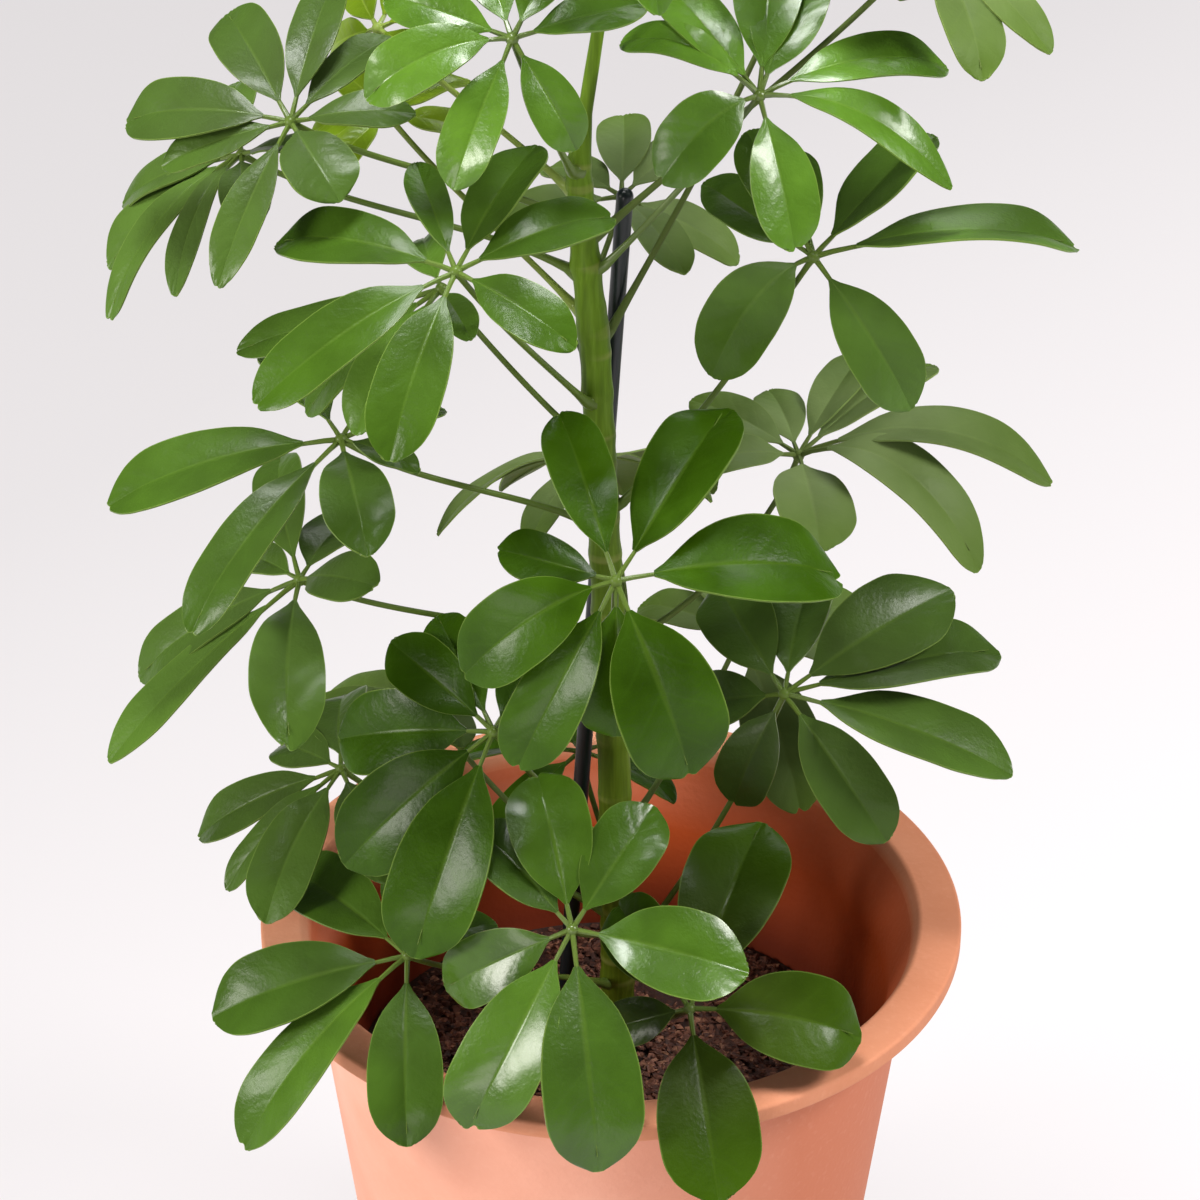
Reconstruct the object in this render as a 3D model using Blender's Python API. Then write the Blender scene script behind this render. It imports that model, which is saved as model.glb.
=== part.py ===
import math
import random
from collections import namedtuple

import bmesh
import bpy
from mathutils import Matrix, Vector

# All sizes are in metres; the plant's tables are in millimetres and are turned into metres by MM
MM = 0.001
GAP = 0.0003
SHARP_DEG = 40
NEAR_PARALLEL = 0.9

# Terracotta pot, standing on z = 0 with its axis on the z axis
POT_HEIGHT = 0.195
RIM_RADIUS = 0.115
RIM_FLAT = 0.0135
LIP_DEPTH = 0.006
LIP_EDGE = 0.001
NECK_FILLET = 0.003
BASE_CHAMFER = 0.002
NECK_RADIUS = 0.1065
BODY_TOP_RADIUS = 0.099
BODY_TOP_DROP = 0.014
BASE_RADIUS = 0.078
INNER_TOP_RADIUS = 0.0925
INNER_TOP_DROP = 0.022
INNER_FLOOR_RADIUS = 0.071
FLOOR_THICKNESS = 0.011
POT_SIDES = 40

# Potting bark
SOIL_LEVEL = 0.129
SOIL_ROUGHNESS = 0.0022
SOIL_CLEARANCE = 0.0004
SOIL_RINGS = 3
SOIL_SIDES = 20
HOLE_SIDES = 12

# Main stem: centre points from its foot in the bark up to its growing tip, and the radius at each
STEM_LINE_MM = (
    (3, 0, 62, 5.4),
    (2, 0, 200, 5.3),
    (1, 0, 250, 5.2),
    (-2, 0, 330, 4.9),
    (-5, 0, 400, 4.6),
    (-8, 0, 432, 4.3),
    (-10, 0, 460, 3.7),
    (-8, 0, 478, 2.2),
    (-4, 0, 505, 1.9),
    (0, 0, 532, 1.7),
    (3, 0, 560, 1.3),
)
STEM_SIDES = 12

# Support stake, leaning behind the stem
STAKE_FOOT_MM = (-21, 11, 62)
STAKE_TOP_MM = (4, 11, 449)
STAKE_RADIUS = 0.0026
STAKE_SIDES = 12
STAKE_HOLE_REACH = 0.12
HOLE_CLEARANCE = 0.00045
# Rounded top: rise and radius, each a share of the stake's radius
STAKE_DOME = ((0.0, 1.0), (0.35, 0.94), (0.7, 0.72), (0.95, 0.32))

# Leaf proportions
PETIOLE_FOOT_RADIUS = 0.0021
PETIOLE_RADIUS = 0.001
PETIOLE_SIDES = 5
PETIOLE_STEPS = 4
PETIOLE_COLLAR = 0.0015
COLLAR_RINGS = 2
PETIOLE_RISE_DEG = 42
PETIOLE_REACH = 0.34
PETIOLE_CURVE = 0.3
HUB_RADIUS = 0.0028
STALK_START = 0.0018
STALK_SHARE = 0.15
STALK_WIDTH = 0.0015
STALK_THICKNESS = 0.0014
BLADE_THICKNESS = 0.0008
BLADE_ARCH_DEG = 16
BLADE_TROUGH_DEG = 12
BLADE_ROLL_DEG = (2, 9)
BLADE_WIDTH_SPREAD = 0.03
# Blade outline: share of its length, share of its full width on the left and on the right
BLADE_OUTLINE = ((0.0, 0.05, 0.05), (0.28, 0.82, 0.82), (0.70, 0.98, 1.0), (1.0, 0.28, 0.44))
TIP_NOTCH_SHARE = 0.035
TIP_SLANT_SHARE = 0.014
# Quads between two cross-sections of a blade: two of its corners, and whether the quad is split
# from the first of them
BLADE_QUADS = ((0, 1, True), (1, 2, False), (2, 5, True), (5, 4, True), (4, 3, False), (3, 0, True))

# A compound leaf: its hub in space, how far its umbrella tilts and which way it then faces
# (degrees, 0 to the right, 90 to the back, 270 to the front), the height at which its stalk leaves
# the stem, and its leaflets as (bearing, length, width, droop, level, lift) in degrees and mm,
# bearing 0 being downhill, level saying how far the blade's face turns up to the light (0 square to
# the umbrella, 1 straight up) and lift how much more it arches straight up, as a share of its length
Leaf = namedtuple("Leaf", "name hub tilt faces grows_at leaflets")
Leaflet = namedtuple("Leaflet", "bearing length width droop level lift")

LEAVES = (
    Leaf(
        "leaf_left_top", (-92, -20, 484), 35, 255, 446,
        ((272, 53, 21, 7, 0.2, 0.06), (219, 52, 19, 9, 0.2, 0), (181, 51, 15, 5, 0.2, 0),
         (157, 48, 14, 19, 0.2, 0), (105, 36, 14, 5, 0.2, 0), (41, 33, 21, -4, 0.2, 0),
         (348, 53, 14, 10, 0.9, 0), (295, 40, 13, 6, 0.2, 0)),
    ),
    Leaf(
        "leaf_left_top_under", (-110, 15, 458), 29, 197, 428,
        ((355, 54, 21, 9, 0.3, 0), (19, 64, 13, 9, 0.3, 0.12), (42, 52, 11, 10, 0.3, 0.15),
         (330, 46, 18, 3, 0.3, 0), (79, 38, 15, 4, 0.3, 0), (124, 38, 14, -4, 0.3, 0),
         (255, 41, 16, -4, 0.3, 0)),
    ),
    Leaf(
        "leaf_centre_top", (-28, -38, 517), 51, 272, 462,
        ((289, 45, 18, 10, 0.3, 0.19), (337, 45, 17, 10, 0.8, 0), (31, 36, 15, 18, 0, 0),
         (109, 42, 16, 15, 0.5, 0), (154, 38, 15, 18, 0, 0), (196, 38, 15, 22, 0, 0),
         (246, 40, 15, 14, 0, 0)),
    ),
    Leaf(
        "leaf_left_upper", (-44, -60, 456), 32, 250, 386,
        ((267, 59, 21, 4, 0.5, 0.05), (317, 68, 20, 6, 0, 0.03), (357, 59, 21, 9, 0.2, 0),
         (68, 44, 17, 2, -0.2, 0), (131, 49, 20, 9, 0.2, 0), (169, 48, 20, 3, 1, 0),
         (215, 44, 12, 5, 1, 0)),
    ),
    Leaf(
        "leaf_left_upper_under", (-50, -20, 431), 27, 208, 372,
        ((325, 69, 16, 0, 0.3, -0.12), (352, 55, 22, 12, 0.3, 0), (22, 52, 18, 10, 0.3, 0),
         (255, 40, 15, 10, 0.3, 0), (80, 28, 11, 1, 0.3, 0)),
    ),
    Leaf(
        "leaf_left_middle", (-80, -35, 389), 17, 235, 343,
        ((312, 73, 24, 4, -0.3, 0), (352, 74, 18, 16, 0, 0), (45, 49, 21, 3, 0.3, 0),
         (240, 58, 18, 4, 1.1, 0), (95, 27, 11, 10, 0.3, 0), (150, 34, 16, 10, 0.3, 0),
         (196, 49, 18, 16, 0.3, 0)),
    ),
    Leaf(
        "leaf_left_lower", (-96, -15, 329), 30, 205, 296,
        ((3, 81, 18, 5, -0.3, -0.08), (341, 63, 20, 5, -0.3, 0), (57, 62, 24, 9, 1, 0),
         (115, 41, 18, -10, -0.2, 0), (250, 58, 18, -5, 0.3, 0), (283, 40, 14, 11, 0.3, 0),
         (222, 42, 19, 20, 1, 0)),
    ),
    Leaf(
        "leaf_centre_front", (1, -68, 360), 55, 272, 284,
        ((196, 59, 20, 21, 1, 0), (147, 68, 30, 17, 0.8, 0), (92, 73, 34, 17, 0.5, 0.1),
         (21, 65, 32, 18, 0, 0.04), (331, 65, 23, 18, 0.7, 0), (300, 55, 25, 18, 0.1, 0.2),
         (252, 39, 17, 22, 0.6, 0), (0, 50, 24, 26, 0.2, 0)),
    ),
    Leaf(
        "leaf_right_top", (42, -15, 490), 46, 274, 430,
        ((240, 46, 13, 16, 0.4, 0.25), (212, 49, 18, 13, 0.8, 0), (172, 56, 21, 9, 0.3, 0),
         (102, 60, 18, 12, 0.3, 0.16), (65, 62, 15, 10, 0.3, 0.24), (11, 46, 20, 11, 0.3, 0),
         (308, 38, 20, 11, -0.2, 0.25), (158, 45, 21, 8, 0.3, 0)),
    ),
    Leaf(
        "leaf_right_upper", (59, -15, 439), 58, 262, 349,
        ((319, 55, 23, 33, 0, 0.3), (37, 58, 21, 27, 0.1, 0.06), (98, 81, 33, 15, 1, 0.13),
         (143, 54, 27, 15, 1, 0), (238, 48, 17, 25, 0.6, 0), (212, 44, 18, 9, 0.6, 0),
         (197, 40, 14, 29, 0.6, 0)),
    ),
    Leaf(
        "leaf_right_middle", (59, 30, 348), 18, 286, 296,
        ((70, 81, 26, -1, 0.6, 0.23), (41, 69, 22, 6, 0, 0.4), (350, 48, 25, -9, 0.2, 0),
         (118, 61, 23, -5, 1.1, 0), (178, 36, 15, 9, 0.4, 0), (275, 40, 15, -10, 0.4, 0),
         (216, 43, 16, 7, 0.4, 0), (138, 53, 17, -4, 1.1, 0)),
    ),
    Leaf(
        "leaf_right_lower", (55, 0, 278), 45, 249, 182,
        ((86, 78, 32, 22, 0.8, 0.06), (47, 58, 23, 27, 0.2, 0.06), (338, 44, 20, 33, -0.3, 0),
         (142, 68, 29, 22, -0.3, 0), (122, 76, 31, 26, 0.7, 0), (188, 51, 21, 26, 0.3, 0),
         (226, 54, 24, 18, 0.3, 0), (280, 45, 20, 33, 0.3, 0)),
    ),
    Leaf(
        "leaf_left_base", (-36, -50, 296), 38, 265, 226,
        ((266, 57, 26, 26, -0.3, 0), (309, 64, 28, 24, -0.3, 0), (342, 74, 30, 19, 1, 0),
         (229, 48, 20, 10, 0, 0), (208, 48, 16, 12, 0, 0), (160, 36, 15, 20, 0, 0)),
    ),
    Leaf(
        "leaf_left_base_outer", (-86, -10, 256), 26, 216, 196,
        ((323, 58, 19, 12, -0.3, -0.04), (23, 57, 21, 7, 1, 0), (352, 54, 12, 14, 0.2, 0),
         (238, 47, 20, 14, 0.2, 0), (279, 36, 17, 10, 0.2, 0), (72, 49, 20, 9, 0.2, 0)),
    ),
    Leaf(
        "leaf_left_rim", (-63, -72, 228), 28, 261, 168,
        ((288, 66, 27, 14, 0.3, 0), (321, 79, 24, 22, 1.1, 0.08), (7, 59, 24, 19, 0.2, 0),
         (232, 66, 25, 21, 0.4, 0), (190, 43, 17, 18, 0, 0), (125, 31, 13, 12, 0, 0)),
    ),
    Leaf(
        "leaf_front_base", (-12, -90, 251), 41, 273, 188,
        ((190, 51, 26, 3, 0, 0), (145, 46, 22, 0, 0, 0), (75, 55, 27, 4, -0.1, 0),
         (5, 74, 31, 17, 1.1, 0), (329, 70, 28, 21, 0.9, 0), (286, 49, 21, 33, -0.2, 0),
         (219, 45, 20, 8, 0.5, 0)),
    ),
    Leaf(
        "leaf_right_base", (24, -83, 216), 43, 262, 150,
        ((166, 67, 33, 10, -0.1, 0), (87, 55, 28, 10, -0.2, 0.08), (14, 61, 31, -3, 0.2, 0),
         (284, 30, 15, 26, 0, 0), (219, 45, 22, 14, 0, 0)),
    ),
    Leaf(
        "leaf_young_left_top", (-69, 25, 494), 42, 230, 455,
        ((240, 31, 12, 20, 0, 0), (190, 30, 12, 15, 0, 0), (80, 25, 10, 5, 0, 0),
         (285, 30, 13, 30, 0, 0), (135, 28, 11, 10, 0, 0)),
    ),
    Leaf(
        "leaf_young_left_back", (-67, 30, 464), 26, 240, 415,
        ((159, 31, 12, 18, 0, 0), (280, 31, 12, 20, 0, 0), (240, 30, 12, 10, 0, 0),
         (195, 29, 12, 10, 0, 0), (340, 24, 11, 5, 0, 0), (100, 30, 12, 10, 0, 0)),
    ),
    Leaf(
        "leaf_back_top", (3, 48, 429), 20, 277, 400,
        ((172, 40, 17, 5, 0, 0), (135, 39, 16, 7, 0, 0), (22, 40, 15, -4, 0, 0),
         (210, 41, 16, 25, 0, 0), (265, 40, 16, 20, 0, 0), (65, 42, 18, 20, 0, 0)),
    ),
    Leaf(
        "leaf_back_middle", (-5, 40, 343), 30, 95, 300,
        ((88, 57, 17, 24, 0.25, 0.15), (345, 48, 20, 15, 0, 0), (40, 46, 14, 12, 0, 0),
         (300, 48, 20, 15, 0, 0), (138, 46, 13, 38, 0.3, 0), (228, 48, 19, 20, 0, 0)),
    ),
    Leaf(
        "leaf_back_lower_right", (43, 58, 264), 18, 274, 228,
        ((18, 63, 27, 28, 0, 0), (76, 50, 20, 4, 0, 0), (108, 48, 20, 4, 0, 0), (150, 48, 18, 6, 0, 0),
         (190, 48, 19, 8, 0, 0), (232, 42, 17, 14, 0, 0)),
    ),
    Leaf(
        "leaf_back_lower_left", (-62, 50, 244), 12, 120, 205,
        ((60, 48, 19, 6, 0, 0), (20, 49, 20, 8, 0, 0), (330, 49, 19, 14, 0, 0), (170, 40, 16, 4, 0, 0),
         (120, 44, 18, 0, 0, 0), (275, 44, 17, 10, 0, 0)),
    ),
    Leaf(
        "leaf_back_base", (-10, 46, 226), 12, 97, 165,
        ((10, 50, 20, 8, 0, 0), (70, 48, 18, 8, 0, 0), (118, 43, 18, 34, 0, 0), (222, 42, 16, 10, 0, 0),
         (300, 49, 19, 10, 0, 0)),
    ),
    Leaf(
        "leaf_right_crown", (92, 15, 526), 29, 287, 440,
        ((0, 51, 19, 1, 0, 0), (27, 50, 15, 2, 0, 0), (318, 24, 10, 8, 0, 0), (284, 42, 16, -2, 0, 0),
         (190, 47, 19, 4, 0, 0), (156, 50, 19, 0, 0, 0), (113, 50, 21, 0, 0, 0), (70, 49, 21, 6, 0, 0)),
    ),
    Leaf(
        "leaf_right_crown_back", (61, 45, 526), 27, 82, 406,
        ((0, 46, 19, 8, 0, 0), (50, 46, 19, 8, 0, 0), (100, 46, 19, 6, 0, 0), (152, 44, 17, 4, 0, 0),
         (205, 44, 18, 6, 0, 0), (256, 44, 18, 36, 0, 0), (306, 45, 19, 10, 0, 0)),
    ),
    Leaf(
        "leaf_crown_front", (4, -42, 572), 45, 285, 534,
        ((5, 44, 17, 20, 0, 0), (50, 43, 17, 20, 0, 0), (95, 44, 17, 20, 0, 0), (145, 40, 17, 20, 0, 0),
         (190, 38, 15, 20, 0, 0), (240, 42, 18, 20, 0, 0), (310, 44, 17, 20, 0, 0)),
    ),
    Leaf(
        "leaf_crown_left", (-38, 12, 560), 35, 175, 532,
        ((0, 42, 17, 18, 0, 0), (50, 42, 16, 18, 0, 0), (100, 40, 17, 18, 0, 0),
         (155, 38, 14, 18, 0, 0), (210, 40, 16, 18, 0, 0), (260, 41, 17, 18, 0, 0),
         (310, 42, 18, 18, 0, 0)),
    ),
    Leaf(
        "leaf_crown_back", (16, 44, 566), 38, 75, 545,
        ((20, 42, 17, 18, 0, 0), (70, 42, 18, 18, 0, 0), (120, 40, 17, 18, 0, 0),
         (170, 38, 16, 18, 0, 0), (225, 40, 16, 18, 0, 0), (280, 41, 17, 18, 0, 0),
         (330, 42, 18, 18, 0, 0)),
    ),
    Leaf(
        "leaf_crown_tip", (18, 0, 594), 15, 330, 556,
        ((10, 34, 14, 12, 0, 0), (80, 32, 14, 12, 0, 0), (155, 33, 14, 12, 0, 0),
         (225, 32, 13, 12, 0, 0), (300, 34, 14, 12, 0, 0)),
    ),
)
# Where round the stem a stalk leaves it, in degrees, when it isn't straight towards its hub:
# these bend clear of the stake
STALK_SIDES = {
    "leaf_back_lower_left": 192,
    "leaf_back_lower_right": 30,
    "leaf_back_middle": 40,
    "leaf_back_top": 130,
    "leaf_back_base": 40,
}
# Stalks that bend more than the rest: the rise of their first stretch in degrees, and how strongly
# both ends follow their own direction
STALK_BENDS = {
    "leaf_right_middle": (4, 0.75),
}
SEED = 47


def clear_scene():
    for item in list(bpy.data.objects):
        bpy.data.objects.remove(item, do_unlink=True)


def plain_material(name, color, roughness):
    made = bpy.data.materials.new(name)
    made.use_nodes = True
    shader = made.node_tree.nodes["Principled BSDF"]
    shader.inputs["Base Color"].default_value = (*color, 1.0)
    shader.inputs["Roughness"].default_value = roughness
    return made


def mesh_object(name, shape, material=None):
    """The bmesh as a linked object, its faces turned outwards."""
    bmesh.ops.recalc_face_normals(shape, faces=shape.faces)
    mesh = bpy.data.meshes.new(name)
    shape.to_mesh(mesh)
    shape.free()
    made = bpy.data.objects.new(name, mesh)
    bpy.context.scene.collection.objects.link(made)
    if material:
        mesh.materials.append(material)
    mesh.shade_smooth()
    mesh.set_sharp_from_angle(angle=math.radians(SHARP_DEG))
    return made


def joined(body, others, name):
    """Unites the body with the other objects, applies the union and removes what it used."""
    group = bpy.data.collections.new(name + "_pieces")
    bpy.context.scene.collection.children.link(group)
    for other in others:
        bpy.context.scene.collection.objects.unlink(other)
        group.objects.link(other)
    union = body.modifiers.new("union", "BOOLEAN")
    union.operation = "UNION"
    union.solver = "EXACT"
    union.operand_type = "COLLECTION"
    union.collection = group
    graph = bpy.context.evaluated_depsgraph_get()
    mesh = bpy.data.meshes.new_from_object(body.evaluated_get(graph))
    mesh.name = name
    material = body.data.materials[0]
    body.modifiers.clear()
    body.data = mesh
    mesh.materials.clear()
    mesh.materials.append(material)
    body.name = name
    for other in others:
        bpy.data.objects.remove(other, do_unlink=True)
    bpy.data.collections.remove(group)
    return body


def turned(name, profile, sides, material):
    """A solid turned round z from (radius, height) points, the first and last on the axis."""
    shape = bmesh.new()
    rings = []
    for radius, height in profile:
        if radius == 0:
            rings.append([shape.verts.new((0, 0, height))])
            continue
        turns = [2 * math.pi * i / sides for i in range(sides)]
        rings.append([shape.verts.new((radius * math.cos(t), radius * math.sin(t), height)) for t in turns])
    for lower, upper in zip(rings, rings[1:]):
        for i in range(sides):
            j = (i + 1) % sides
            below = (lower[i % len(lower)], lower[j % len(lower)])
            above = (upper[j % len(upper)], upper[i % len(upper)])
            shape.faces.new(list(dict.fromkeys(below + above)))
    return mesh_object(name, shape, material)


def tube(name, centres, radii, sides, material=None, foot_way=None):
    """A closed tube through the centres, with one radius for each; its collar may face a set way."""
    shape = bmesh.new()
    rings = []
    start = (foot_way or centres[1] - centres[0]).normalized()
    side = Vector((0, 1, 0)) if abs(start.x) > NEAR_PARALLEL else Vector((1, 0, 0))
    for i, centre in enumerate(centres):
        before = centres[max(i - 1, 0)]
        after = centres[min(i + 1, len(centres) - 1)]
        along = foot_way if foot_way and i < COLLAR_RINGS else (after - before).normalized()
        side = (side - along * side.dot(along)).normalized()
        across = along.cross(side)
        ring = []
        for k in range(sides):
            turn = 2 * math.pi * k / sides
            outward = side * math.cos(turn) + across * math.sin(turn)
            ring.append(shape.verts.new(centre + radii[i] * outward))
        rings.append(ring)
    for lower, upper in zip(rings, rings[1:]):
        for k in range(sides):
            m = (k + 1) % sides
            shape.faces.new((lower[k], lower[m], upper[m], upper[k]))
    shape.faces.new(rings[0][::-1])
    shape.faces.new(rings[-1])
    return mesh_object(name, shape, material)


def stem_at(height):
    """Centre and radius of the main stem at a height."""
    for low, high in zip(STEM_LINE_MM, STEM_LINE_MM[1:]):
        if height <= high[2] * MM:
            share = (height / MM - low[2]) / (high[2] - low[2])
            x, y, z, radius = (a + (b - a) * share for a, b in zip(low, high))
            return Vector((x, y, z)) * MM, radius * MM
    x, y, z, radius = STEM_LINE_MM[-1]
    return Vector((x, y, z)) * MM, radius * MM


def build_pot():
    lip_foot = POT_HEIGHT - LIP_DEPTH
    profile = [
        (0, 0),
        (BASE_RADIUS - BASE_CHAMFER, 0),
        (BASE_RADIUS, BASE_CHAMFER),
        (BODY_TOP_RADIUS, POT_HEIGHT - BODY_TOP_DROP),
        (NECK_RADIUS - NECK_FILLET, lip_foot - NECK_FILLET),
        (NECK_RADIUS, lip_foot),
        (RIM_RADIUS - LIP_EDGE / 2, lip_foot),
        (RIM_RADIUS, lip_foot + LIP_EDGE),
        (RIM_RADIUS, POT_HEIGHT - LIP_EDGE),
        (RIM_RADIUS - LIP_EDGE, POT_HEIGHT),
        (RIM_RADIUS - RIM_FLAT, POT_HEIGHT),
        (RIM_RADIUS - RIM_FLAT - LIP_EDGE, POT_HEIGHT - LIP_EDGE),
        (INNER_TOP_RADIUS, POT_HEIGHT - INNER_TOP_DROP),
        (INNER_FLOOR_RADIUS, FLOOR_THICKNESS),
        (0, FLOOR_THICKNESS),
    ]
    return turned("pot", profile, POT_SIDES, plain_material("terracotta", (0.78, 0.34, 0.20), 0.75))


def inner_wall_radius(height):
    top = POT_HEIGHT - INNER_TOP_DROP
    share = (height - FLOOR_THICKNESS) / (top - FLOOR_THICKNESS)
    return INNER_FLOOR_RADIUS + (INNER_TOP_RADIUS - INNER_FLOOR_RADIUS) * share


def cutter_tube(name, centres, radius):
    made = tube(name, centres, [radius] * len(centres), HOLE_SIDES)
    made.hide_render = True
    made.display_type = "WIRE"
    return made


def build_soil(stem_hole, stake_hole):
    bottom = FLOOR_THICKNESS + GAP
    clear = GAP / math.cos(math.pi / POT_SIDES) + SOIL_CLEARANCE
    shape = bmesh.new()
    rough = random.Random(SEED)
    foot_radius = inner_wall_radius(bottom) - clear
    top_radius = inner_wall_radius(SOIL_LEVEL) - clear
    turns = [2 * math.pi * i / SOIL_SIDES for i in range(SOIL_SIDES)]
    foot = [(foot_radius * math.cos(t), foot_radius * math.sin(t), bottom) for t in turns]
    rings = [[shape.verts.new(point) for point in foot]]
    for k in range(SOIL_RINGS):
        radius = top_radius * (1 - k / SOIL_RINGS)
        ring = []
        for t in turns:
            height = SOIL_LEVEL + SOIL_ROUGHNESS * (rough.random() - (1.0 if k == 0 else 0.5))
            ring.append(shape.verts.new((radius * math.cos(t), radius * math.sin(t), height)))
        rings.append(ring)
    for lower, upper in zip(rings, rings[1:]):
        for i in range(SOIL_SIDES):
            j = (i + 1) % SOIL_SIDES
            shape.faces.new((lower[i], lower[j], upper[j]))
            shape.faces.new((lower[i], upper[j], upper[i]))
    middle = shape.verts.new((0, 0, SOIL_LEVEL))
    for i in range(SOIL_SIDES):
        shape.faces.new((rings[-1][i], rings[-1][(i + 1) % SOIL_SIDES], middle))
    shape.faces.new(rings[0][::-1])
    soil = mesh_object("soil", shape, plain_material("bark", (0.07, 0.035, 0.02), 0.9))
    for hole in (stem_hole, stake_hole):
        cut = soil.modifiers.new(hole.name, "BOOLEAN")
        cut.operation = "DIFFERENCE"
        cut.object = hole
    return soil


def build_stem():
    """The main stem and the cutter of the plain hole that it stands in."""
    centres = [Vector(point[:3]) * MM for point in STEM_LINE_MM]
    radii = [point[3] * MM for point in STEM_LINE_MM]
    stem = tube("stem", centres, radii, STEM_SIDES, plain_material("stem_bark", (0.16, 0.27, 0.05), 0.5))
    down = (centres[0] - centres[1]).normalized()
    reach = [centres[0] + down * GAP, centres[1]]
    hole = cutter_tube("stem_hole", reach, radii[0] + HOLE_CLEARANCE)
    return stem, hole


def build_stake():
    """The stake with its rounded top, and the cutter of its hole."""
    foot = Vector(STAKE_FOOT_MM) * MM
    top = Vector(STAKE_TOP_MM) * MM
    along = (top - foot).normalized()
    centres = [foot] + [top + along * STAKE_RADIUS * (rise - 1) for rise, _ in STAKE_DOME]
    radii = [STAKE_RADIUS] + [STAKE_RADIUS * share for _, share in STAKE_DOME]
    black = plain_material("stake_plastic", (0.01, 0.02, 0.02), 0.35)
    stake = tube("stake", centres, radii, STAKE_SIDES, black)
    reach = [foot - along * GAP, foot + along * STAKE_HOLE_REACH]
    hole = cutter_tube("stake_hole", reach, STAKE_RADIUS + HOLE_CLEARANCE)
    return stake, hole


def bezier(a, b, c, d, t):
    s = 1 - t
    return a * s**3 + b * 3 * s * s * t + c * 3 * s * t * t + d * t**3


def petiole_line(leaf, hub, axis):
    """Centres of the leaf's stalk, from the side of the stem up to the hub, and the way it sets out."""
    centre, radius = stem_at(leaf.grows_at * MM)
    towards = math.degrees(math.atan2(hub.y - centre.y, hub.x - centre.x))
    side = math.radians(STALK_SIDES.get(leaf.name, towards))
    out = Vector((math.cos(side), math.sin(side), 0))
    foot = centre + out * (radius + GAP)
    start = foot + out * PETIOLE_COLLAR
    straight = (hub - start).normalized()
    reach = (hub - start).length * PETIOLE_REACH
    rise_deg, curve = STALK_BENDS.get(leaf.name, (PETIOLE_RISE_DEG, PETIOLE_CURVE))
    rise = math.radians(rise_deg)
    upward = out * math.cos(rise) + Vector((0, 0, 1)) * math.sin(rise)
    first = start + straight.lerp(upward, curve).normalized() * reach
    last = hub - straight.lerp(axis, curve).normalized() * reach
    line = [bezier(start, first, last, hub, i / PETIOLE_STEPS) for i in range(PETIOLE_STEPS + 1)]
    return [foot] + line, out


def build_leaflet(name, hub, turn, leaflet, draw):
    """One leaflet with its stalk: an arched, troughed strip with a notched tip."""
    bearing, length, droop = math.radians(leaflet.bearing), leaflet.length * MM, math.radians(leaflet.droop)
    way = turn @ Vector((math.cos(bearing), math.sin(bearing), 0))
    axis = turn @ Vector((0, 0, 1))
    upright = Vector((0, 0, 1))
    side = axis.lerp(upright, leaflet.level).cross(way).normalized()
    arch = math.radians(BLADE_ARCH_DEG)
    tip = length * (way * math.cos(droop) - axis * math.sin(droop))
    rise = arch - droop
    knee = 0.5 * length / math.cos(arch) * (way * math.cos(rise) + axis * math.sin(rise))
    knee += upright * leaflet.lift * length
    roll = math.radians(draw.uniform(*BLADE_ROLL_DEG))
    half = 0.5 * leaflet.width * MM * draw.uniform(1 - BLADE_WIDTH_SPREAD, 1 + BLADE_WIDTH_SPREAD)
    trough = math.radians(BLADE_TROUGH_DEG)
    flip = draw.random() < 0.5
    narrow = STALK_WIDTH / 2
    stations = [(STALK_START / length, narrow, narrow, 0.0, 0.0, 0.0, STALK_THICKNESS)]
    for share, left, right in BLADE_OUTLINE:
        along = STALK_SHARE + (1 - STALK_SHARE) * share
        wide = (max(half * left, narrow), max(half * right, narrow))
        if flip:
            wide = wide[::-1]
        fold = 0.0 if share == 0.0 else trough
        thick = STALK_THICKNESS if share == 0.0 else BLADE_THICKNESS
        cut = (TIP_NOTCH_SHARE * length, TIP_SLANT_SHARE * length) if share == 1.0 else (0.0, 0.0)
        stations.append((along, *wide, fold, *cut, thick))
    shape = bmesh.new()
    rows = []
    for along, left, right, fold, notch, slant, thick in stations:
        centre = hub + knee * 2 * along * (1 - along) + tip * along * along
        ahead = (knee * 2 * (1 - 2 * along) + tip * 2 * along).normalized()
        across = (side * math.cos(roll) + ahead.cross(side) * -math.sin(roll)).normalized()
        up = ahead.cross(across).normalized()
        lift = math.tan(fold)
        points = (
            centre + (across + up * lift) * left,
            centre - ahead * notch,
            centre + (-across + up * lift) * right - ahead * slant,
        )
        top = [shape.verts.new(point + up * thick / 2) for point in points]
        under = [shape.verts.new(point - up * thick / 2) for point in points]
        rows.append(top + under)
    for near, far in zip(rows, rows[1:]):
        for a, b, from_first in BLADE_QUADS:
            shape.faces.new((near[a], near[b], far[b if from_first else a]))
            shape.faces.new((near[a if from_first else b], far[b], far[a]))
    for row in (rows[0], rows[-1]):
        shape.faces.new((row[0], row[1], row[4], row[3]))
        shape.faces.new((row[1], row[2], row[5], row[4]))
    return mesh_object(name, shape)


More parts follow.
